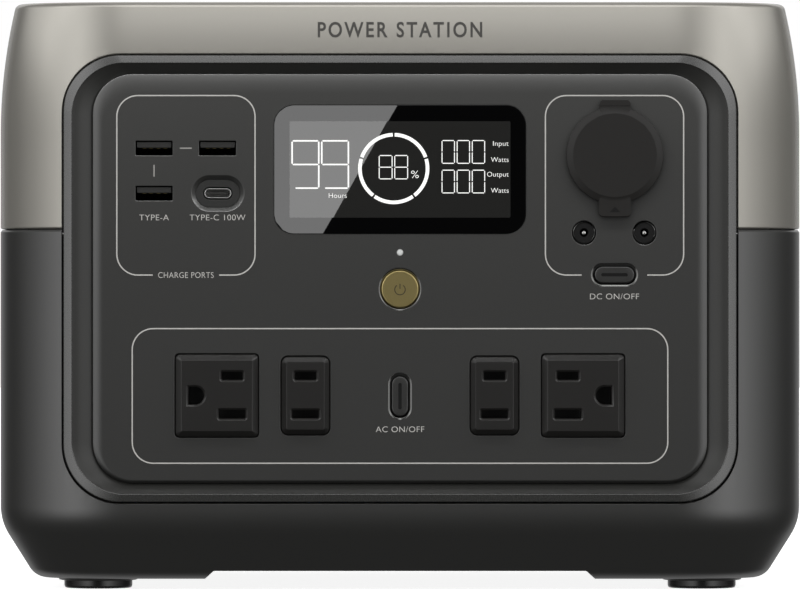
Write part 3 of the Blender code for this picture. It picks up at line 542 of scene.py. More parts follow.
def case_front(x, z):
    """The y of the case's front face at a place on it."""
    above = next(i for i, point in enumerate(CASE_EDGE) if point.y >= z)
    under, over = CASE_EDGE[above - 1], CASE_EDGE[above]
    inset = under.x + (over.x - under.x) * (z - under.y) / (over.y - under.y)
    reach_x, reach_y = FRONT_CORNER[0] - inset, FRONT_CORNER[1] - inset
    past = max(0.0, abs(x) - (HALF_WIDTH - inset - reach_x)) / reach_x
    bend = (1 - past ** CORNER_POWER) ** (1 / CORNER_POWER)
    return FRONT_Y + inset + reach_y * (1 - bend)


def case_half(name, corners):
    return loft(name, [case_ring(point.x, point.y) for point in filleted(corners)])


def flared(radius):
    """(growth, depth) pairs of a cutter that leaves a round rim, from outside the wall inwards."""
    turns = [math.radians(15 * i) for i in range(5, -1, -1)]
    rim = [(radius * (1 - math.cos(t)), radius * (1 - math.sin(t))) for t in turns]
    return [(rim[0][0] + 8, -8), *rim, (0, 12)]


def subdivided(outline, step):
    """The same outline with no side longer than a step."""
    points = []
    for start, end in zip(outline, outline[1:] + outline[:1]):
        parts = math.ceil(math.dist(start, end) / step)
        points += [tuple(Vector(start).lerp(Vector(end), i / parts)) for i in range(parts)]
    return points


def opening_cutter(name):
    """The front opening's cutter, whose flare follows the curved face."""
    outline = subdivided(rounded(*OPENING, (0, OPENING_Z), 20), 3.0)
    rings = []
    for growth, depth in flared(0.8):
        ring = offset(outline, growth)
        rings.append([(x, case_front(*near) + depth, z) for (x, z), near in zip(ring, outline)])
    work = bmesh.new()
    rows = skin(work, rings)
    for row in (rows[0], rows[-1]):
        middle = work.verts.new(sum((vert.co for vert in row), Vector()) / len(row))
        for start, end in zip(row, row[1:] + row[:1]):
            work.faces.new((start, end, middle))
    return to_mesh(work, name)


def wall_cutter(name, outline, wall, outward, side):
    """A cutter for an opening with a round rim in a flat wall."""
    rings = [(offset(outline, growth), wall - outward * depth) for growth, depth in flared(0.7)]
    return ringed(name, rings, side=side)


def places(*nodes):
    """The (x, y) of upright round parts."""
    middles = [(low(name) + high(name)) / 2 for name in nodes]
    return [(m.x, m.y) for m in middles]


CORNERS = ("front_left", "front_right", "rear_left", "rear_right")
SCREW_PLACES = places(*("case_screw_" + corner for corner in CORNERS))
FOOT_PLACES = places(*("foot_" + corner for corner in CORNERS))
HANDLE_SCREWS = places("handle_screw_left", "handle_screw_right")


def plate_rear():
    """The two round rear corners that the handle's plate and grip share, from right to left."""
    pivot_x, pivot_y = PLATE_HALF - PLATE_CORNER, PLATE_REAR - PLATE_CORNER
    return [*arc((pivot_x, pivot_y), PLATE_CORNER, 0, 90, 16),
            *arc((-pivot_x, pivot_y), PLATE_CORNER, 90, 180, 16)]


def upper_shell():
    """The light cover with its handle plate, the posts for the case screws and the screw holes."""
    seam = SEAM_Z + GAP / 2
    corners = [(1.6, seam, 0), (0.0, seam, 0.7), *UPPER_EDGE]
    inner = drawn_in([(0, seam - 20, 0), *UPPER_EDGE], WALL)
    outline = [(-PLATE_HALF, 79), (PLATE_HALF, 79), *plate_rear()]
    slot = rounded(2 * SLOT_HALF, SLOT_DEPTH, SLOT_CORNER, (0, SLOT_REAR - SLOT_DEPTH / 2), 12)
    top, bottom, edge = 195.5, 184.0, 2.4
    hole = through_slot(slot, top, bottom, edge)
    plate = ringed("handle_plate", rolled_both(outline, top, bottom, edge), [hole], "top")
    posts = round_bars("post", [(5, TOP_Z - 1), (5, POST_BOTTOM), (1.8, POST_BOTTOM)], SCREW_PLACES, 24)
    screw_holes = round_bars("handle_hole", [(1.8, 179), (1.8, 193)], HANDLE_SCREWS, 24)
    cuts = [case_half("upper_cavity", inner), opening_cutter("opening")]
    mesh = shaped(case_half("upper_cover", corners), cuts)
    mesh = shaped(mesh, screw_holes, [plate, *posts])
    piece(mesh, "light_shell", "upper_shell")


def through_slot(outline, top, bottom, edge):
    """The rings of a hole right through a plate, round at both mouths."""
    middle = (top + bottom) / 2
    near = mouth(outline, top, middle, edge)
    far = mouth(outline, bottom, middle, edge)
    return near[:-1] + far[-2::-1]


def lower_shell():
    """The dark cover with the channel under it, the side and rear openings, bosses and foot pockets."""
    seam = SEAM_Z - GAP / 2
    lip_height, lip_inset = 0.75, 0.55
    corners = [*LOWER_EDGE, (0, seam - lip_height, 0.15), (lip_inset, seam, 0), (1.6, seam, 0)]
    inner = drawn_in([*LOWER_EDGE, (0, seam + 10, 0)], WALL)
    floor = ringed("channel_floor", prism(rounded(2 * CHANNEL_HALF[0] + 2 * WALL, 260, 1, (0, -20)),
                                          -10, CHANNEL_Z + WALL), side="top")
    cavity = shaped(case_half("lower_cavity", inner), [floor])
    wide, narrow = CHANNEL_HALF
    below = 4
    lean = (wide - narrow) / (CHANNEL_Z - BOSS_Z) * (CHANNEL_Z + below)
    channel = filleted([(-narrow - lean, -below, 0), (narrow + lean, -below, 0.1), (narrow, CHANNEL_Z, 1.2),
                        (-narrow, CHANNEL_Z, 1.2), (-narrow - lean, -below, 0)])[:-1]
    cuts = [cavity, opening_cutter("opening"),
            ringed("channel", prism([tuple(p) for p in channel], -150, 110))]
    vent = rounded(*VENT, VENT_PLACE)
    cuts += [wall_cutter("left_vent", vent, -HALF_WIDTH, -1, "side"),
             wall_cutter("right_vent", vent, HALF_WIDTH, 1, "side"),
             wall_cutter("bay_opening", rounded(*BAY, BAY_PLACE), REAR_Y, 1, "front")]
    mesh = shaped(case_half("lower_cover", corners), cuts)
    joins = round_bars("boss", [(6, BASE_Z + 1), (6, POST_BOTTOM - GAP)], SCREW_PLACES, 32)
    foot_boss = [(12.7, BOSS_Z), (13.1, BOSS_Z + 0.12), (14.0, BASE_Z + 0.25), (14.0, BASE_Z + 1.4)]
    joins += round_bars("foot_boss", foot_boss, FOOT_PLACES)
    bore = [(4.6, -1), (4.6, BASE_Z), (4.2, BASE_Z + 0.4), (4.2, 8.5), (2, 8.5), (2, 20)]
    holes = round_bars("bore", bore, SCREW_PLACES, 32)
    holes += round_bars("pocket", [(12, 0), (12, 3.7)], FOOT_PLACES)
    piece(shaped(mesh, holes, joins), "dark_shell", "lower_shell")


def feet():
    """Rubber feet with a round edge and a shallow recess in the sole."""
    profile = [(10.5, 0.0), (11.0, 0.12), (11.35, 0.45), (11.5, 1.0), (11.5, 3.4)]
    recess = [(7.6, 0.0), (7.3, 0.5)]
    for corner, place in zip(CORNERS, FOOT_PLACES):
        mesh = ringed(f"foot_{corner}_rubber", turned(profile, place), [turned(recess, place)], "top")
        piece(mesh, "foot_rubber", "foot_" + corner)


def cross_head(name, place, bottom, top):
    """A pan-head screw seen from below, with a cross recess."""
    x, y = place
    radius, arm, half = 3.6, 1.9, 0.42
    cross = [(arm, -half), (arm, half), (half, half), (half, arm), (-half, arm), (-half, half), (-arm, half),
             (-arm, -half), (-half, -half), (-half, -arm), (half, -arm), (half, -half)]
    recess = [([(x + u * k, y + v * k) for u, v in cross], depth) for k, depth in
              ((1.0, bottom), (0.75, bottom + 1.3))]
    profile = [(2.6, bottom), (3.2, bottom + 0.2), (3.5, bottom + 0.6), (radius, bottom + 1.1),
               (radius, bottom + 2.4), (1.5, bottom + 2.4), (1.5, top)]
    return ringed(name, turned(profile, place, 40), [recess], "top")


def screws():
    """The case screws and the handle screws, all driven from below."""
    names = ["case_screw_" + corner for corner in CORNERS] + ["handle_screw_left", "handle_screw_right"]
    for name, place in zip(names, SCREW_PLACES + HANDLE_SCREWS):
        piece(cross_head(name + "_head", place, low(name).z, high(name).z), "steel", name)


def handle_grip():
    """The soft U under the handle plate, with finger grooves along its rear bar."""
    bottom, top = low("handle_grip").z, high("handle_grip").z
    front = REAR_Y + 0.4
    pivot_x, pivot_y = SLOT_HALF - SLOT_CORNER, SLOT_REAR - SLOT_CORNER
    outline = [(-PLATE_HALF, front), (-SLOT_HALF, front),
               *arc((-pivot_x, pivot_y), SLOT_CORNER, 180, 90, 10),
               *arc((pivot_x, pivot_y), SLOT_CORNER, 90, 0, 10),
               (SLOT_HALF, front), (PLATE_HALF, front), *plate_rear()]
    rings = rolled(outline, bottom, top - 0.2, 3.4, 6)
    rings = rings[:-1] + [(outline, top - 0.8), (offset(outline, -0.5), top)]
    head = [(4.4, bottom), (4.0, bottom + 0.4), (4.0, bottom + 3.3)]
    grip = ringed("handle_grip_rubber", rings, [turned(head, place, 32) for place in HANDLE_SCREWS], "top")
    cutters = []
    for i in range(-4, 5):
        groove = prism(pill(2.2, 9.5, (12.0 * i, 122.7), 6), bottom - 1, bottom + 0.7)
        cutters.append(ringed("grip_groove", groove, side="top"))
    piece(shaped(grip, cutters), "rubber", "handle_grip")


# ---------------------------------------------------------------- front

def front_bezel():
    """The raised frame: a band that follows the curved case, then a slope down to the panel's groove."""
    width, height = OPENING[0] - 2 * GAP, OPENING[1] - 2 * GAP
    back, outer_proud, proud, edge = -116.0, 0.86, 1.0, 0.5
    crest_x, crest_z = 3.02, 2.74  # where the band meets the slope, in from the outline
    foot_x, foot_z = 9.78, 6.16
    # Each section is in by x, in by z, a depth, and how far it follows the case's face.
    band = [(0.0, 0.0, back, 0.0), (0.0, 0.0, edge - outer_proud, 1.0)]
    for i in range(1, 5):
        turn = math.radians(18 * i)
        inset = edge * (1 - math.cos(turn))
        band.append((inset, inset, edge * (1 - math.sin(turn)) - outer_proud, 1.0))
    band += [(2.7, 2.5, -proud, 1.0), (2.88, 2.64, 0.08 - proud, 1.0), (crest_x, crest_z, 0.25 - proud, 1.0)]
    slope = [(crest_x, crest_z, back, 0.0), band[-1]]
    for i in range(1, 8):
        share = i / 8
        in_x, in_z = crest_x + (foot_x - crest_x) * share, crest_z + (foot_z - crest_z) * share
        slope.append((in_x, in_z, 0.35 - proud, (1 - share) ** 1.12))
    slope += [(foot_x, foot_z, BEZEL_GROOVE, 0.0), (foot_x, foot_z, back, 0.0)]
    band.append(slope[0])

    def ring(in_x, in_z, depth, follow):
        corner = OPENING[2] - GAP - in_x * 5.4 / 9.6
        outline = rounded(width - 2 * in_x, height - 2 * in_z, corner, (0, OPENING_Z), 20)
        flat = BEZEL_GROOVE if follow else depth
        return [(x, follow * (case_front(x, z) + depth) + (1 - follow) * flat, z) for x, z in outline]

    piece(loft("bezel_band", [ring(*section) for section in band], closed=True), "bezel", "front_bezel")
    piece(loft("bezel_slope", [ring(*section) for section in slope], closed=True), "bezel_slope",
          slot=RECORD_SLOTS["front_bezel"])


def front_panel():
    """The panel: a flat middle that rolls off towards its edge, with a sloping rim round each button."""
    bend, lean, steps = 9.5, math.radians(21), 10
    width, height, corner = OPENING[0] - 20.4, OPENING[1] - 13.2, OPENING[2] - 6

    def outline(inwards):
        side, top, bottom = (0.16 + reach * inwards for reach in (3.4, 6.4, 0.9))
        return rounded(width - 2 * side, height - top - bottom, corner - side,
                       (0, OPENING_Z + (bottom - top) / 2), 20)

    rings = []
    for i in range(steps + 1):
        turn = lean * i / steps
        share = math.sin(turn) / math.sin(lean)
        rings.append((outline(1 - share), PANEL_FRONT + bend * (1 - math.cos(turn))))
    drop = rings[-1][1]
    edge = rounded(width, height, corner, (0, OPENING_Z), 20)
    rings += [(offset(edge, -0.08), drop + 0.05), (offset(edge, -0.02), drop + 0.11), (edge, drop + 0.22),
              (edge, PANEL_BACK)]

    def hole(shape, radius=0.25):
        return mouth(shape, PANEL_FRONT, PANEL_BACK, radius)

    holes = [hole(rounded(84.36, 43.16, 6.8, centre("display_window"), 16), 0.1),
             hole(circle(1.1, centre("status_light"), 32), 0.08),
             hole(circle(7.18, centre("power_button"), 96), 0.06),
             hole(pill(8.0, 15.9, centre("ac_button")), 0.06),
             hole(pill(15.9, 8.0, centre("dc_button")), 0.06),
             chamfered(pill(14.7, 9.2, centre("type_c_port")), PANEL_FRONT, PANEL_BACK, 1.35, 1.3, 0.25),
             hole(circle(13.5, centre("car_socket"))),
             hole(rounded(9.6, 1.7, 0.4, (centre("cap_hinge")[0], CAP_NECK_Z), 3), 0.1)]
    holes += [hole(rounded(12.4, 4.9, 0.35, centre("type_a_port_" + name), 4), 0.22) for name in TYPE_A]
    holes += [hole(circle(4.0, centre("dc_jack_" + side), 40)) for side in SIDES]
    holes += [hole(rounded(28.3, 28.2, 1.5, centre("grounded_outlet_" + side), 6), 0.2) for side in SIDES]
    holes += [hole(rounded(16.7, 26.7, 2.6, centre("plain_outlet_" + side), 8), 0.2) for side in SIDES]
    piece(ringed("panel_face", rings, holes), "panel", "front_panel")


def recess_ring(name, outline, width):
    """The plated sloping rim between the panel and a button."""
    rings = [(outline, PANEL_BACK), (outline, PANEL_FRONT + 0.04), (offset(outline, -0.05), PANEL_FRONT)]
    for i in range(1, 5):
        turn = math.radians(18 + 4 * i)
        rings.append((offset(outline, -0.05 - (width - 0.05) * i / 4),
                      rings[-1][1] + (width - 0.05) / 4 * math.tan(turn)))
    rings.append((offset(outline, -width), PANEL_BACK))
    work = bmesh.new()
    skin(work, [[(u, depth, v) for u, v in ring] for ring, depth in rings], closed=True)
    piece(to_mesh(work, name, 50), "dark_chrome", slot="panel")


def print_on(name, outlines, depth, finish, body="case", slot=None):
    """Flat printed shapes that stand a hair proud of a face."""
    mesh = stack(name, [prism(outline, depth - PRINT, depth) for outline in outlines])
    piece(mesh, finish, body=body, slot=slot)


def letters(name, words, spacing=1.0, weight=0.0):
    """The mesh of some words in the built-in typeface, at its own size."""
    curve = bpy.data.curves.new(name, "FONT")
    curve.body = words
    curve.space_character = spacing
    curve.extrude = 0.5
    curve.offset = weight
    curve.resolution_u = 5
    text = helper(curve)
    mesh = bpy.data.meshes.new_from_object(text.evaluated_get(bpy.context.evaluated_depsgraph_get()))
    bpy.data.objects.remove(text)
    mesh.name = name
    return mesh


def span(mesh, axis):
    values = [vert.co[axis] for vert in mesh.vertices]
    return min(values), max(values)


CAPITAL = span(letters("capital", "H"), 1)[1]


def label(name, words, middle, baseline, width, capital, depth, finish="ink", spacing=1.06, weight=0.0,
          slot=None):
    """Words of that width and capital height, in mm, printed on a face. Depth may follow the case's front."""
    mesh = letters(name, words, spacing, weight)
    left, right = span(mesh, 0)
    for vert in mesh.vertices:
        x = middle + (vert.co.x - (left + right) / 2) * width / (right - left)
        z = baseline + vert.co.y * capital / CAPITAL
        face = case_front(x, z) if depth is None else depth
        vert.co = Vector((x, face - (vert.co.z + 0.5) * PRINT, z)) * MM
    work = bmesh.new()
    work.from_mesh(mesh)
    bmesh.ops.remove_doubles(work, verts=work.verts, dist=1e-7)
    piece(to_mesh(work, name), finish, slot=slot)


def line_frame(size, middle, gap):
    """A rounded line frame's outline, open for so much of its bottom edge."""
    width, height, radius = size
    x, z = middle
    right, top = width / 2 - radius, height / 2 - radius
    path = [(x + gap / 2, z - height / 2), *arc((x + right, z - top), radius, 270, 360, 12),
            *arc((x + right, z + top), radius, 0, 90, 12), *arc((x - right, z + top), radius, 90, 180, 12),
            *arc((x - right, z - top), radius, 180, 270, 12), (x - gap / 2, z - height / 2)]
    return stroke(path, 0.42)


def panel_marks():
    """The line frames and the words on the panel."""
    dc_x = centre("dc_button")[0]
    ports_x = (centre("type_a_port_lower")[0] + centre("type_c_port")[0]) / 2
    frames = [line_frame((46.2, 60.0, 7.0), (ports_x, 135.6), 22.2),
              line_frame((46.2, 60.0, 7.0), (dc_x, 135.6), 22.0),
              line_frame((179.0, 45.0, 7.0), (0, 65.2), 0.02)]
    print_on("line_frames", frames, PANEL_FRONT, "ink")
    left, right, under = (centre("type_a_port_" + name) for name in ("upper_left", "upper_right", "lower"))
    middle_x, middle_z = (left[0] + right[0]) / 2, (left[1] + under[1]) / 2
    print_on("port_dashes", [rounded(4.0, 0.45, 0.1, (middle_x, left[1]), 2),
                             rounded(0.45, 4.0, 0.1, (left[0], middle_z), 2)], PANEL_FRONT, "faint_ink")
    for name, words, x, z, width in (
            ("label_type_a", "TYPE-A", under[0], 123.9, 9.9),
            ("label_type_c", "TYPE-C 100W", -61.0, 123.9, 18.7),
            ("label_ports", "CHARGE PORTS", ports_x, 104.65, 18.6),
            ("label_dc", "DC ON/OFF", dc_x, 97.5, 16.4),
            ("label_ac", "AC ON/OFF", 0, 53.1, 16.2)):
        label(name, words, x, z, width, 1.9, PANEL_FRONT, weight=-0.006)


# ---------------------------------------------------------------- display

BARS = {"0": "abcdef", "8": "abcdefg", "9": "abcdfg"}


def digit(symbol, left, bottom, width, height, thick):
    """The lit bars of a seven-bar digit, each a long hexagon, with a hair between neighbours. A nine's lowest
    bar starts a little further right."""
    half, hair = thick / 2, 0.13
    x0, x1 = left + half, left + width - half
    z0, z1, z2 = bottom + half, bottom + height / 2, bottom + height - half
    short = 0.9 if symbol == "9" else 0.0
    ends = {"a": (x0, z2, x1, z2), "b": (x1, z1, x1, z2), "c": (x1, z0, x1, z1),
            "d": (x0 + short, z0, x1, z0), "e": (x0, z0, x0, z1), "f": (x0, z1, x0, z2),
            "g": (x0, z1, x1, z1)}
    bars = []
    for name in BARS[symbol]:
        start, end = Vector(ends[name][:2]), Vector(ends[name][2:])
        along = (end - start).normalized()
        across = Vector((along.y, -along.x)) * half
        start, end = start + along * hair, end - along * hair
        points = [start, start + along * half + across, end - along * half + across, end,
                  end - along * half - across, start + along * half - across]
        bars.append([tuple(point) for point in points])
    return bars


def display():
    """The smoked window, the screen in its middle, and what the screen shows."""
    x, z = centre("display_window")
    face, back = low("display_window").y, high("display_window").y
    outline = rounded(84.2, 43.0, 6.72, (x, z), 16)
    screen = rounded(73.8, 32.2, 0.4, (x, z), 3)
    piece(ringed("display_glass", rolled(outline, face, back, 0.12, 3)), "window", "display_window")
    print_on("screen_area", [screen], face, "screen", slot="window")
    shown = face - PRINT
    bars = []
    for i, left in enumerate((-36.3, -26.4)):
        bars += digit("9", x + left, z - 6.5, 9.4, 16.3, 0.5)
    for left in (-7.1, -1.9):
        bars += digit("8", x + left, z - 3.3, 4.6, 8.1, 0.29)
    for bottom in (1.9, -8.0):
        for i in range(3):
            bars += digit("0", x + 13.9 + 5.05 * i, z + bottom, 4.45, 7.9, 0.29)
    print_on("display_digits", bars, shown, "lit", slot="window")
    ring_middle, radius = (x - 2.1, z + 0.3), 11.3
    ring = [stroke(arc(ring_middle, radius, 91.6 + 72 * i, 160.4 + 72 * i, 24), 1.2) for i in range(5)]
    print_on("display_ring", ring, shown, "lit", slot="window")
    for name, words, left, right, base in (
            ("word_hours", "Hours", -23.8, -17.8, -9.5), ("word_percent", "%", 3.7, 6.3, -2.9),
            ("word_input", "Input", 31.1, 36.3, 7.9), ("word_watts_in", "Watts", 30.4, 36.3, 2.5),
            ("word_output", "Output", 29.1, 36.3, -2.4), ("word_watts_out", "Watts", 30.4, 36.3, -7.8)):
        capital = 2.5 if words == "%" else 1.6
        label(name, words, x + (left + right) / 2, z + base, right - left, capital, shown, "lit", 1.03,
              -0.011, slot="window")


def status_light():
    """A lens with a flange, and a short light guide behind it."""
    front = low("status_light").y
    profile = [(0.5, front), (0.85, front + 0.08), (0.98, front + 0.3), (1.0, FLANGE_Y), (1.9, FLANGE_Y),
               (1.9, -122.4), (1.0, -122.4), (1.0, high("status_light").y)]
    piece(ringed("status_lens", turned(profile, centre("status_light"), 40)), "light_guide", "status_light")


# ---------------------------------------------------------------- buttons

MARK_DEPTH = 0.25  # how deep the bar on a key is sunk


def button_body(outline, flange, place, face, edge):
    """The bodies of a button: its key with a round edge, the flange behind the panel and the stem."""
    key = rolled(outline, face, -122.7, edge)
    rear = prism(flange, FLANGE_Y, -122.0)
    stem = turned([(1.6, -122.6), (1.6, -117.6)], place, 24)
    return key, [rear, stem]


def push_button(name, outline, flange, finish, marks=()):
    """A key with blind marks sunk in its face, joined to its flange and its stem."""
    place = centre(name)
    face = low(name).y
    key, rest = button_body(outline, flange, place, face, 0.35)
    sunk = [prism(mark, face, face + MARK_DEPTH) for mark in marks]
    key_mesh = ringed(name + "_key", key, sunk)
    joins = [ringed(f"{name}_part_{i}", rings) for i, rings in enumerate(rest)]
    piece(shaped(key_mesh, joins=joins), finish, name, body=name)
    return face


def buttons():
    """The three keys with their rims, the power sign and the sunk bars of the output keys."""
    recess_ring("power_recess", circle(7.15, centre("power_button"), 96), 0.70)
    recess_ring("ac_recess", pill(7.94, 15.84, centre("ac_button")), 0.95)
    recess_ring("dc_recess", pill(15.84, 7.94, centre("dc_button")), 0.95)
    place = centre("power_button")
    face = push_button("power_button", circle(6.2, place, 96), circle(8.2, place), "gold_metal")
    x, z = place
    sign = [stroke(arc((x, z - 0.15), 1.75, 128, 412, 32), 0.32), stroke([(x, z + 0.1), (x, z + 1.75)], 0.32)]
    print_on("power_sign", sign, face, "sign", "power_button")
    for name, size in (("ac_button", (5.4, 13.2)), ("dc_button", (13.2, 5.4))):
        place = centre(name)
        bar = [side - 4.3 for side in size]
        face = push_button(name, pill(*size, place), pill(size[0] + 2.6, size[1] + 2.6, place), "panel",
                           [pill(*bar, place, 8)])
        print_on(name + "_bar", [pill(*bar, place, 8)], face + MARK_DEPTH, "deep_black", name)


# ---------------------------------------------------------------- sockets

def type_a_ports():
    """Each port: a near-black shell whose colour also holds painted shade for its hollow, a tongue in its
    upper half and four gold contacts under it.
    """
    for name in TYPE_A:
        node_name = "type_a_port_" + name
        x, z = centre(node_name)
        front, back = low(node_name).y, high(node_name).y
        shell = rolled(rounded(13.6, 6.1, 1.0, (x, z), 6), front, back, 0.1, 3)
        hollow = mouth(rounded(12.1, 4.6, 0.3, (x, z), 4), front, back - 1.7, 0.15)
        # painted shade: the shell's colour is darkened past its black plastic so that its hollow looks shaded
        piece(ringed(node_name + "_shell", shell, [hollow]), "cavity", node_name)
        tongue = rolled(rounded(11.5, 1.95, 0.2, (x, z + 1.15), 3), -126.0, back - 1.2, 0.15, 3)
        piece(ringed(node_name + "_tongue", tongue), "panel", slot="black_plastic")
        contacts = [prism(rounded(1.1, 0.2, 0.05, (x + u, z + 0.1), 2), -119.5, back - 1.4)
                    for u in (-3.5, -1.25, 1.25, 3.5)]
        piece(stack(node_name + "_contacts", contacts), "gold_metal", slot="gold_metal")


def type_c_port():
    """The port's collar, its steel shell and the tongue inside."""
    x, z = centre("type_c_port")
    front, back = low("type_c_port").y, high("type_c_port").y
    collar = rolled(pill(14.62, 9.12, (x, z), 16), front + 0.75, -122.6, 0.08)
    collar_hole = mouth(pill(9.9, 4.2, (x, z)), front + 0.75, -122.6, 0.1)
    piece(ringed("type_c_collar", collar, [collar_hole]), "panel", slot="panel")
    shell = rolled(pill(9.0, 3.3, (x, z)), front + 0.6, back, 0.12, 4)
    hollow = mouth(pill(8.35, 2.65, (x, z)), front + 0.6, back - 1.5, 0.1)
    piece(ringed("type_c_shell", shell, [hollow]), "steel", "type_c_port")
    tongue = rolled(rounded(6.5, 0.72, 0.2, (x, z), 4), front + 1.5, back - 1.0, 0.12, 3)
    piece(ringed("type_c_tongue", tongue), "panel", slot="black_plastic")


def car_socket():
    """The round socket, its soft cap with a pull tab, and the strip that the cap swings on."""
    place = centre("car_socket")
    x, z = place
    barrel = [(15.2, -127.3), (15.2, -128.0), (14.9, -128.3), (10.9, -128.3), (10.6, -128.0)]
    rings = turned([(13.2, -88.0), (13.2, -127.3), *barrel], place, 96)
    deep = turned([(10.6, -91.0), (2.5, -91.0), (2.5, -95.0)], place, 96)
    piece(cup(rings + deep), "black_plastic", "car_socket")

    face = low("car_socket_cap").y
    lid = [(13.9, face), (14.15, face + 0.05), (16.05, face + 0.75), (16.2, face + 0.95), (16.2, -127.4),
           (15.5, -127.4), (15.5, -128.6), (9.3, -128.6), (9.3, -124.0), (8.5, -123.0)]
    cap = ringed("car_cap", turned(lid, place, 128))
    relief = ringed("relief", prism(rounded(40, 11, 0.5, (x, z + 14.5), 2), -128.8, -126.9))
    pull = [(x - 5.4, z - 13.0), *arc((x - 4.0, z - 19.2), 1.4, 180, 270, 6),
            *arc((x + 4.0, z - 19.2), 1.4, 270, 360, 6), (x + 5.4, z - 13.0)]
    tab = rounded(10.4, 2.6, 0.3, (x, z + 15.12), 2)
    joins = [ringed("pull", rolled(pull, face + 0.5, -127.4, 0.3)),
             ringed("tab", rolled(tab, face + 0.62, -129.0, 0.06, 3))]
    mesh = shaped(shaped(cap, [relief]), joins=joins)
    piece(mesh, "rubber", "car_socket_cap", body="socket_cap")
    arrow = [(x - 1.8, z - 19.0), (x + 1.8, z - 19.0), (x, z - 17.2)]
    print_on("cap_arrow", [arrow], face + 0.5, "deep_black", "socket_cap")
    top = z + 18.5
    corner = 1.3
    strip = [(x - 5.2, z + 16.47), (x + 5.2, z + 16.47),
             *arc((x + 5.2 - corner, top - corner), corner, 0, 90, 6),
             *arc((x - 5.2 + corner, top - corner), corner, 90, 180, 6)]
    neck = [prism(rounded(8.8, 0.9, 0.2, (x, CAP_NECK_Z), 2), -127.6, -122.6),
            prism(rounded(8.8, 3.6, 0.5, (x, CAP_NECK_Z), 3), FLANGE_Y, -121.8)]
    mesh = shaped(ringed("cap_strip", rolled(strip, face + 0.62, -127.3, 0.12)),
                  joins=[ringed(f"neck_{i}", rings) for i, rings in enumerate(neck)])
    piece(mesh, "rubber", "cap_hinge")


def cup(rings):
    """A round cup: its outer wall and rim, then its bore down to a contact hole."""
    work = bmesh.new()
    rows = skin(work, [[(u, depth, v) for u, v in ring] for ring, depth in rings])
    fill(work, [rows[0]], "front")
    fill(work, [rows[-1]], "front")
    return to_mesh(work, "car_socket_barrel")


def dc_jacks():
    """Each jack: a dark plated ring, a black face and a centre pin."""
    for side in SIDES:
        name = "dc_jack_" + side
        place = centre(name)
        front, back = low(name).y, high(name).y
        body = turned([(3.3, front + 0.25), (3.3, FLANGE_Y), (5.0, FLANGE_Y), (5.0, back)], place)
        bore = turned([(1.6, front + 0.25), (1.35, front + 0.5), (1.3, -117.5)], place, 48)
        piece(ringed(name + "_body", body, [bore]), "deep_black", name)
        ring = turned([(3.5, front), (3.66, front + 0.15), (3.66, -124.2)], place)
        ring_bore = turned([(3.42, front), (3.32, front + 0.1), (3.32, -124.2)], place)
        piece(ringed(name + "_ring", ring, [ring_bore]), "dark_chrome", slot="steel")
        pin = turned([(0.3, -126.15), (0.6, -126.0), (0.78, -125.6), (0.78, -117.5)], place, 32)
        piece(ringed(name + "_pin", pin), "steel", slot="steel")


def outlet(name, width, height, radius, slope, slots):
    """A mains socket: a face raised on sloping sides, chamfered slots, and its body behind the panel."""
    front = low(name).y
    back = high(name).y

    def outline(by):
        return rounded(width + 2 * by, height + 2 * by, max(radius + by, 0.25), centre(name), 8)

    slot_depth, collar, collar_y = 14.0, 1.25, -122.9
    rings = [(outline(-slope - 0.2), front), (outline(-slope), front + 0.05),
             (outline(-0.25), PANEL_FRONT - 0.1), (outline(0), PANEL_FRONT + 0.25), (outline(0), collar_y),
             *prism(outline(collar), collar_y, back)]
    holes = [chamfered(slot, front, front + slot_depth, 0.65, 0.6, 0.08) for slot in slots]
    piece(ringed(name + "_face", rings, holes), "black_plastic", name)


def outlets():
    """The two grounded outlets, which mirror each other, and the two plain ones."""
    for side in SIDES:
        hand = 1 if side == "left" else -1
        x, z = centre("grounded_outlet_" + side)
        ground = [(x + u * hand, z + v) for u, v in
                  [(-9.5, 2.95), (-9.5, -2.95), *arc((-7.2, 0), 2.95, -90, 90, 16)]]
        if hand < 0:
            ground.reverse()
        slots = [rounded(7.1, 2.6, 0.3, (x + 5.1 * hand, z + 6.6), 3),
                 rounded(8.9, 2.9, 0.3, (x + 5.1 * hand, z - 6.2), 3), ground]
        outlet("grounded_outlet_" + side, 27.7, 27.6, 1.5, 1.9, slots)
        x, z = centre("plain_outlet_" + side)
        slots = [rounded(7.2, 2.6, 0.3, (x, z + 6.6), 3), rounded(8.9, 2.7, 0.3, (x, z - 6.2), 3)]
        outlet("plain_outlet_" + side, 16.1, 26.1, 2.3, 1.7, slots)


# ---------------------------------------------------------------- sides and back

def grilles():
    """The two side grilles, with round-mouthed slots and a flange inside the wall."""
    for name, outward in (("intake_grille", -1), ("exhaust_grille", 1)):
        face = outward * (HALF_WIDTH - GAP)
        inner = outward * (HALF_WIDTH - WALL - GAP)
        back = inner - outward * 1.5
        plate = rounded(*grown(VENT, -GAP), VENT_PLACE)
        y, z = VENT_PLACE
        slots = [through_slot(pill(84, 4.6, (y, z + 9 * i), 8), face, inner - outward, 0.6)
                 for i in range(-3, 4)]
        mesh = ringed(name + "_plate", rolled(plate, face, inner - outward, 0.6), slots, "side")
        flange = ringed(name + "_flange", prism(rounded(*grown(VENT, 3), VENT_PLACE, 8), inner, back),
                        [prism(rounded(88, 62, 2, VENT_PLACE, 4), inner, back)], "side")
        piece(shaped(mesh, joins=[flange]), "dark_shell", name)


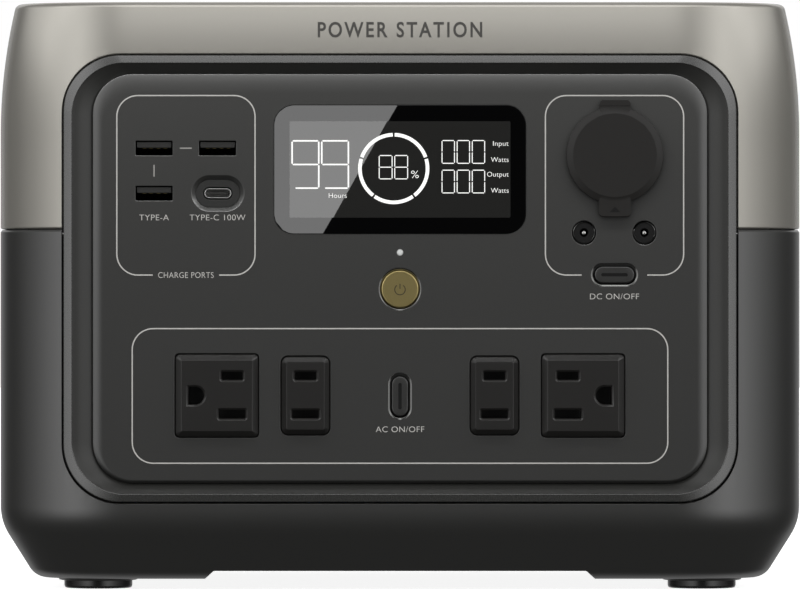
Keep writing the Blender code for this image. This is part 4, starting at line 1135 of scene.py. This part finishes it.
def input_bay():
    """The recess for the charging inputs, with its floor's two cut-outs and the door's pin holes."""
    width, height, corner = grown(BAY, -GAP)
    rim, wall = 87.6, 2
    outer = rolled(rounded(width, height, corner, BAY_PLACE, 8), rim, 68.0, 0.4, 3)
    hollow = mouth(rounded(width - 2 * wall, height - 2 * wall, 0.8, BAY_PLACE, 4), rim, 70.0, 0.4)
    tub = ringed("input_tub", outer, [hollow])
    flange = ringed("tub_flange", prism(rounded(*grown(BAY, 3.5), BAY_PLACE, 8), 83.6, 85.2))
    flange_hole = prism(rounded(width - 1, height - 1, 3.5, BAY_PLACE), 80, 90)
    flange = shaped(flange, [ringed("flange_hole", flange_hole)])
    pin_end = high("input_door_pin")
    pivot = (DOOR_PIVOT_Y, pin_end.z - 0.8)
    cuts = [ringed("inlet_hole", prism(rounded(28.2, 20.8, 0.6, INLET_PLACE, 3), 60, 80)),
            ringed("input_hole", turned([(7.3, 60), (7.3, 80)], (20, 71), 48)),
            ringed("pin_hole", turned([(1.1, -60), (1.1, 60)], pivot, 24), side="side")]
    piece(shaped(tub, cuts, [flange]), "black_plastic", "input_bay")
    pin = [(0.6, -pin_end.x), (0.8, 0.2 - pin_end.x), (0.8, pin_end.x - 0.2), (0.6, pin_end.x)]
    piece(ringed("door_pin", turned(pin, pivot, 32), side="side"), "steel", "input_door_pin")


def input_door():
    """The bay's door: a slightly framed face, its knuckle on the pin and a finger notch at the bottom."""
    left, right = low("input_door").x, high("input_door").x
    bottom = low("input_door").z
    face = high("input_door").y
    pivot, corner = (DOOR_PIVOT_Y, DOOR_PIVOT_Z), 1.5
    sheet = [(left, DOOR_PIVOT_Z), *arc((left + corner, bottom + corner), corner, 180, 270, 6),
             *arc((right - corner, bottom + corner), corner, 270, 360, 6), (right, DOOR_PIVOT_Z)]
    middle = (0, (DOOR_PIVOT_Z + bottom) / 2 - 0.5)
    field = rounded(right - left - 8, DOOR_PIVOT_Z - bottom - 11, 2.0, middle, 6)
    recess = [(offset(field, 0.4), face), (field, face - 0.35)]
    door = ringed("input_door_leaf", rolled(sheet, face, face - 2.5, 0.5), [recess])
    barrel = ringed("knuckle", turned([(1.75, left), (1.75, right)], pivot, 40), side="side")
    bore = ringed("bore", turned([(1.05, -50), (1.05, 50)], pivot, 32), side="side")
    notch = ringed("notch", [(offset(pill(16, 6, (0, bottom - 0.5), 12), growth), depth) for growth, depth in
                             ((1.2, face + 1), (0.5, face), (0, face - 0.6), (0, 80))])
    piece(shaped(door, [bore, notch], [barrel]), "dark_shell", "input_door", body="input_door")
    ribs = [rounded(14, 0.9, 0.4, (0, bottom + 6.2 + 1.9 * i), 4) for i in range(3)]
    mesh = stack("door_grip_ribs", [[(offset(rib, -0.15), face - 0.02), (rib, face - 0.12),
                                     (rib, face - 0.5)] for rib in ribs])
    piece(mesh, "dark_shell", body="input_door", slot="dark_shell")


def inlets():
    """The mains inlet with three blades, and the round charging input."""
    x, z = INLET_PLACE
    back, face = low("ac_inlet").y, high("ac_inlet").y
    hollow = [(x - 11.8, z - 8.1), (x + 11.8, z - 8.1), (x + 11.8, z + 3.1), (x + 6.8, z + 8.1),
              (x - 6.8, z + 8.1), (x - 11.8, z + 3.1)]
    plate = rolled(rounded(31, 24, 2, INLET_PLACE, 6), face, 70.3, 0.5, 4)
    rear = ringed("inlet_rear", prism(rounded(27.6, 20.2, 1.5, INLET_PLACE, 4), face - 1, back))
    cavity = ringed("inlet_cavity", [(offset(hollow, 1.0), face + 0.4), (offset(hollow, 0.5), face),
                                     (hollow, face - 0.6), (hollow, face - 16)])
    mesh = shaped(shaped(ringed("mains_inlet", plate), joins=[rear]), [cavity])
    piece(mesh, "black_plastic", "ac_inlet")
    blades = [[(rounded(w, h, 0.4, (x + dx, z + dz), 3), depth) for w, h, depth in
               ((1.2, 3.2, face - 2), (2, 4, face - 2.8), (2, 4, face - 16.5))]
              for dx, dz in ((-7, -2), (0, 2), (7, -2))]
    piece(stack("inlet_blades", blades), "steel", slot="steel")
    place = centre("dc_input")
    body = turned([(8.6, face), (9, face - 0.4), (9, 70.3), (7, 70.3), (7, 54)], place)
    bore = turned([(4.8, face), (4.2, face - 0.6), (4.2, face - 14)], place)
    piece(ringed("charging_input", body, [bore]), "black_plastic", "dc_input")
    pin = turned([(0.5, face - 2), (0.9, face - 2.4), (0.9, face - 14.2)], place, 32)
    piece(ringed("charging_pin", pin), "steel", slot="steel")


def fan_rotor():
    """The hub with its round front edge and seven curved, twisted blades."""
    x_low, x_high = low("fan_rotor").x, high("fan_rotor").x
    y, z = VENT_PLACE
    hub = [(11.0, x_low), (12.1, x_low + 0.5), (12.5, x_low + 1.5), (12.5, x_high)]
    work = bmesh.new()
    add_rings(work, turned(hub, VENT_PLACE), side="side")
    reach, blades, stations = 36.4, 7, 8
    middle = (x_low + x_high) / 2
    for blade in range(blades):
        rings = []
        for i in range(stations + 1):
            share = i / stations
            radius = 11 + (reach - 11) * share
            pitch = math.radians(50 - 22 * share)
            chord = (11 + 4 * share) / 2
            sweep = math.tau * blade / blades + 0.16 * share
            ring = []
            for along, thick in ((-1, 0.15), (-0.4, 0.75), (0.3, 0.75), (1, 0.25), (1, -0.25), (0.3, -0.35),
                                 (-0.4, -0.35), (-1, -0.15)):
                camber = thick + 0.9 * (1 - along * along)
                u = chord * along * math.sin(pitch) + camber * math.cos(pitch)
                v = chord * along * math.cos(pitch) - camber * math.sin(pitch)
                turn = sweep + v / radius
                ring.append((middle + u, y + radius * math.sin(turn), z + radius * math.cos(turn)))
            rings.append(ring)
        rows = skin(work, rings)
        work.faces.new(rows[0])
        work.faces.new(rows[-1])
    piece(to_mesh(work, "fan_impeller"), "black_plastic", "fan_rotor", body="fan_rotor")


# ---------------------------------------------------------------- studio

def softbox(name, size, place, aim, radiance):
    """An area light of so many metres that the camera doesn't see, with the given radiance."""
    light = bpy.data.lights.new(name, "AREA")
    light.shape = "RECTANGLE"
    light.size, light.size_y = size
    light.energy = radiance * math.pi * size[0] * size[1]
    obj = bpy.data.objects.new(name, light)
    bpy.context.scene.collection.objects.link(obj)
    obj.location = place
    direction = Vector(aim) - Vector(place)
    obj.rotation_euler = direction.to_track_quat("-Z", "Y").to_euler()
    obj.visible_camera = False
    return obj


def ramp(tree, value, stops):
    """A smooth curve of brightness over (degrees / 180, level) stops."""
    made = node(tree, "ValToRGB", {"Fac": value})
    made.color_ramp.interpolation = "EASE"
    while len(made.color_ramp.elements) < len(stops):
        made.color_ramp.elements.new(1.0)
    for element, (degrees, level) in zip(made.color_ramp.elements, stops):
        element.position = degrees / 180
        element.color = (level, level, level, 1)
    return made.outputs["Color"]


def maths(tree, operation, first, second=0.0):
    return node(tree, "Math", {0: first, 1: second}, operation=operation).outputs["Value"]


def studio():
    """Soft light as a world: a tall soft box at each side of the camera, a narrow one high in front, one at
    each upper side, a dimmer one behind and a weak one low in front, with a lamp overhead. The camera sees
    plain white."""
    world = bpy.data.worlds.new("studio")
    bpy.context.scene.world = world
    world.use_nodes = True
    tree = world.node_tree
    background = tree.nodes["Background"]
    towards = node(tree, "SeparateXYZ", {"Vector": node(tree, "TexCoord", {}).outputs["Generated"]}).outputs
    beside = maths(tree, "ABSOLUTE", towards["X"])
    forward = maths(tree, "MULTIPLY", towards["Y"], -1.0)
    azimuth = maths(tree, "DIVIDE", maths(tree, "ARCTAN2", beside, forward), math.pi)
    from_below = maths(tree, "ARCCOSINE", maths(tree, "MULTIPLY", towards["Z"], -1.0))
    height = maths(tree, "DIVIDE", from_below, math.pi)
    boxes = (  # over the azimuth from the camera's side, over the angle up from straight down
        (2.45, ((0, 0), (12, 0.02), (22, 0.62), (34, 1.0), (46, 0.76), (62, 0.38), (80, 0.17), (106, 0.02)),
         ((0, 0.0), (62, 0.0), (78, 0.66), (90, 0.85), (112, 1.08), (121, 0.42), (132, 0.04), (180, 0.03))),
        (2.85, ((0, 1.0), (5, 1.0), (10, 0.15), (16, 0.04), (40, 0.1), (70, 0.0), (120, 0)),
         ((0, 0.0), (108, 0.0), (113, 0.45), (118, 1.0), (135, 0.7), (180, 0.3))),
        (2.0, ((0, 0), (44, 0), (66, 1.0), (100, 0.8), (130, 0)),
         ((0, 0.0), (98, 0.0), (109, 1.0), (124, 0.6), (140, 0.1), (180, 0))),
        (1.2, ((0, 0), (132, 0), (155, 1.0), (180, 0.7)),
         ((0, 0.10), (40, 0.5), (90, 0.35), (120, 1.0), (150, 0.8), (180, 0.5))),
        (0.06, ((0, 1.0), (130, 1.0), (160, 0)), ((0, 1.0), (60, 0.8), (84, 0), (180, 0))))
    total = 0.05
    for level, around, up in boxes:
        light = maths(tree, "MULTIPLY", ramp(tree, azimuth, around), ramp(tree, height, up))
        total = maths(tree, "ADD", total, maths(tree, "MULTIPLY", light, level))
    seen = node(tree, "LightPath", {}).outputs["Is Camera Ray"]
    total = maths(tree, "MAXIMUM", total, seen)
    most = maths(tree, "SUBTRACT", 9.0, maths(tree, "MULTIPLY", seen, 8.0))
    tree.links.new(maths(tree, "MINIMUM", total, most), background.inputs["Strength"])
    background.inputs["Color"].default_value = (1, 1, 1, 1)
    world.cycles.sampling_method = "MANUAL"
    world.cycles.sample_map_resolution = 512
    reach, thickness = 6000, 20
    mesh = ringed("floor", turned([(reach, -thickness), (reach, 0)], steps=96), side="top")
    floor = helper(mesh)
    white = make_material("floor", (0.80, 0.80, 0.80), 0.6, 0.0, (60, 0.1), 0.01)
    shader = white.node_tree.nodes["Principled BSDF"].inputs
    shader["Emission Color"].default_value = (1, 1, 1, 1)
    shader["Emission Strength"].default_value = 0.88
    mesh.materials.append(white)
    floor.visible_glossy = floor.visible_diffuse = floor.visible_shadow = False
    softbox("overhead", (0.9, 0.15), (0, -0.31, 0.41), (0, -0.20, 0.10), 2.0)


def linked(light, *names):
    """Makes a light reach only the named pieces."""
    receivers = bpy.data.collections.new(light.name + "_only")
    for name in names:
        receivers.objects.link(bpy.data.objects[name])
    light.light_linking.receiver_collection = receivers


def glass_reflection():
    """A tilted card that only the display's window reflects, as a pale diagonal over its left side."""
    card = softbox("window_card", (0.16, 0.16), (0, 0, 0), (0, 1, 0), 8.0)
    linked(card, "display_glass", "screen_area")
    camera = bpy.context.scene.camera.location
    glass_y = low("display_window").y * MM
    mirrored = Vector((camera.x, 2 * glass_y - camera.y, camera.z))
    x, z = centre("display_window")
    top, bottom = (Vector(((x + u) * MM, glass_y, (z + v) * MM)) for u, v in ((-1.2, 21.6), (-25.4, -21.6)))
    card_y = -1.0
    share = (card_y - mirrored.y) / (glass_y - mirrored.y)
    top, bottom = (mirrored + (point - mirrored) * share for point in (top, bottom))
    along = (top - bottom).normalized()
    across = Vector((-along.z, 0, along.x))
    card.location = (top + bottom) / 2 + across * 0.08
    card.rotation_euler = Matrix((across, -along, -across.cross(along))).transposed().to_euler()


def panel_strip():
    """A thin lamp close above the panel, which only the panel shows, as a glow that fades downwards."""
    strip = softbox("panel_strip", (0.5, 0.03), (0, -0.20, 0.27), (0, PANEL_FRONT * MM, 0.16), 15.0)
    linked(strip, "panel_face")


def camera():
    """Level with the middle of the front, far away with a long lens."""
    distance, level, per_pixel, frame_width, sensor = 2.8, 0.0991, 0.334 * MM, 800, 36.0
    data = bpy.data.cameras.new("camera")
    data.sensor_width = sensor
    data.lens = distance / (per_pixel * frame_width) * sensor
    data.clip_start, data.clip_end = 0.1, 50
    obj = bpy.data.objects.new("camera", data)
    bpy.context.scene.collection.objects.link(obj)
    obj.location = (0, FRONT_Y * MM - distance, level)
    obj.rotation_euler = (math.radians(90), 0, 0)
    bpy.context.scene.camera = obj


def finish_cad_nodes():
    """Gives the CAD nodes that stay the procedural material of their slot."""
    for name, obj in frame["nodes"].items():
        obj.data.materials.clear()
        obj.data.materials.append(FINISHES[RECORD_SLOTS[name]])


finish_cad_nodes()
upper_shell()
lower_shell()
feet()
screws()
handle_grip()
front_bezel()
front_panel()
panel_marks()
label("front_words", "POWER STATION", 0, 185.2, 55.0, 4.9, None, "dark_ink", 1.25, 0.018, slot="light_shell")
display()
status_light()
buttons()
type_a_ports()
type_c_port()
car_socket()
dc_jacks()
outlets()
grilles()
input_bay()
input_door()
inlets()
fan_rotor()
camera()
studio()
glass_reflection()
panel_strip()
bpy.context.scene.view_settings.view_transform = "Standard"
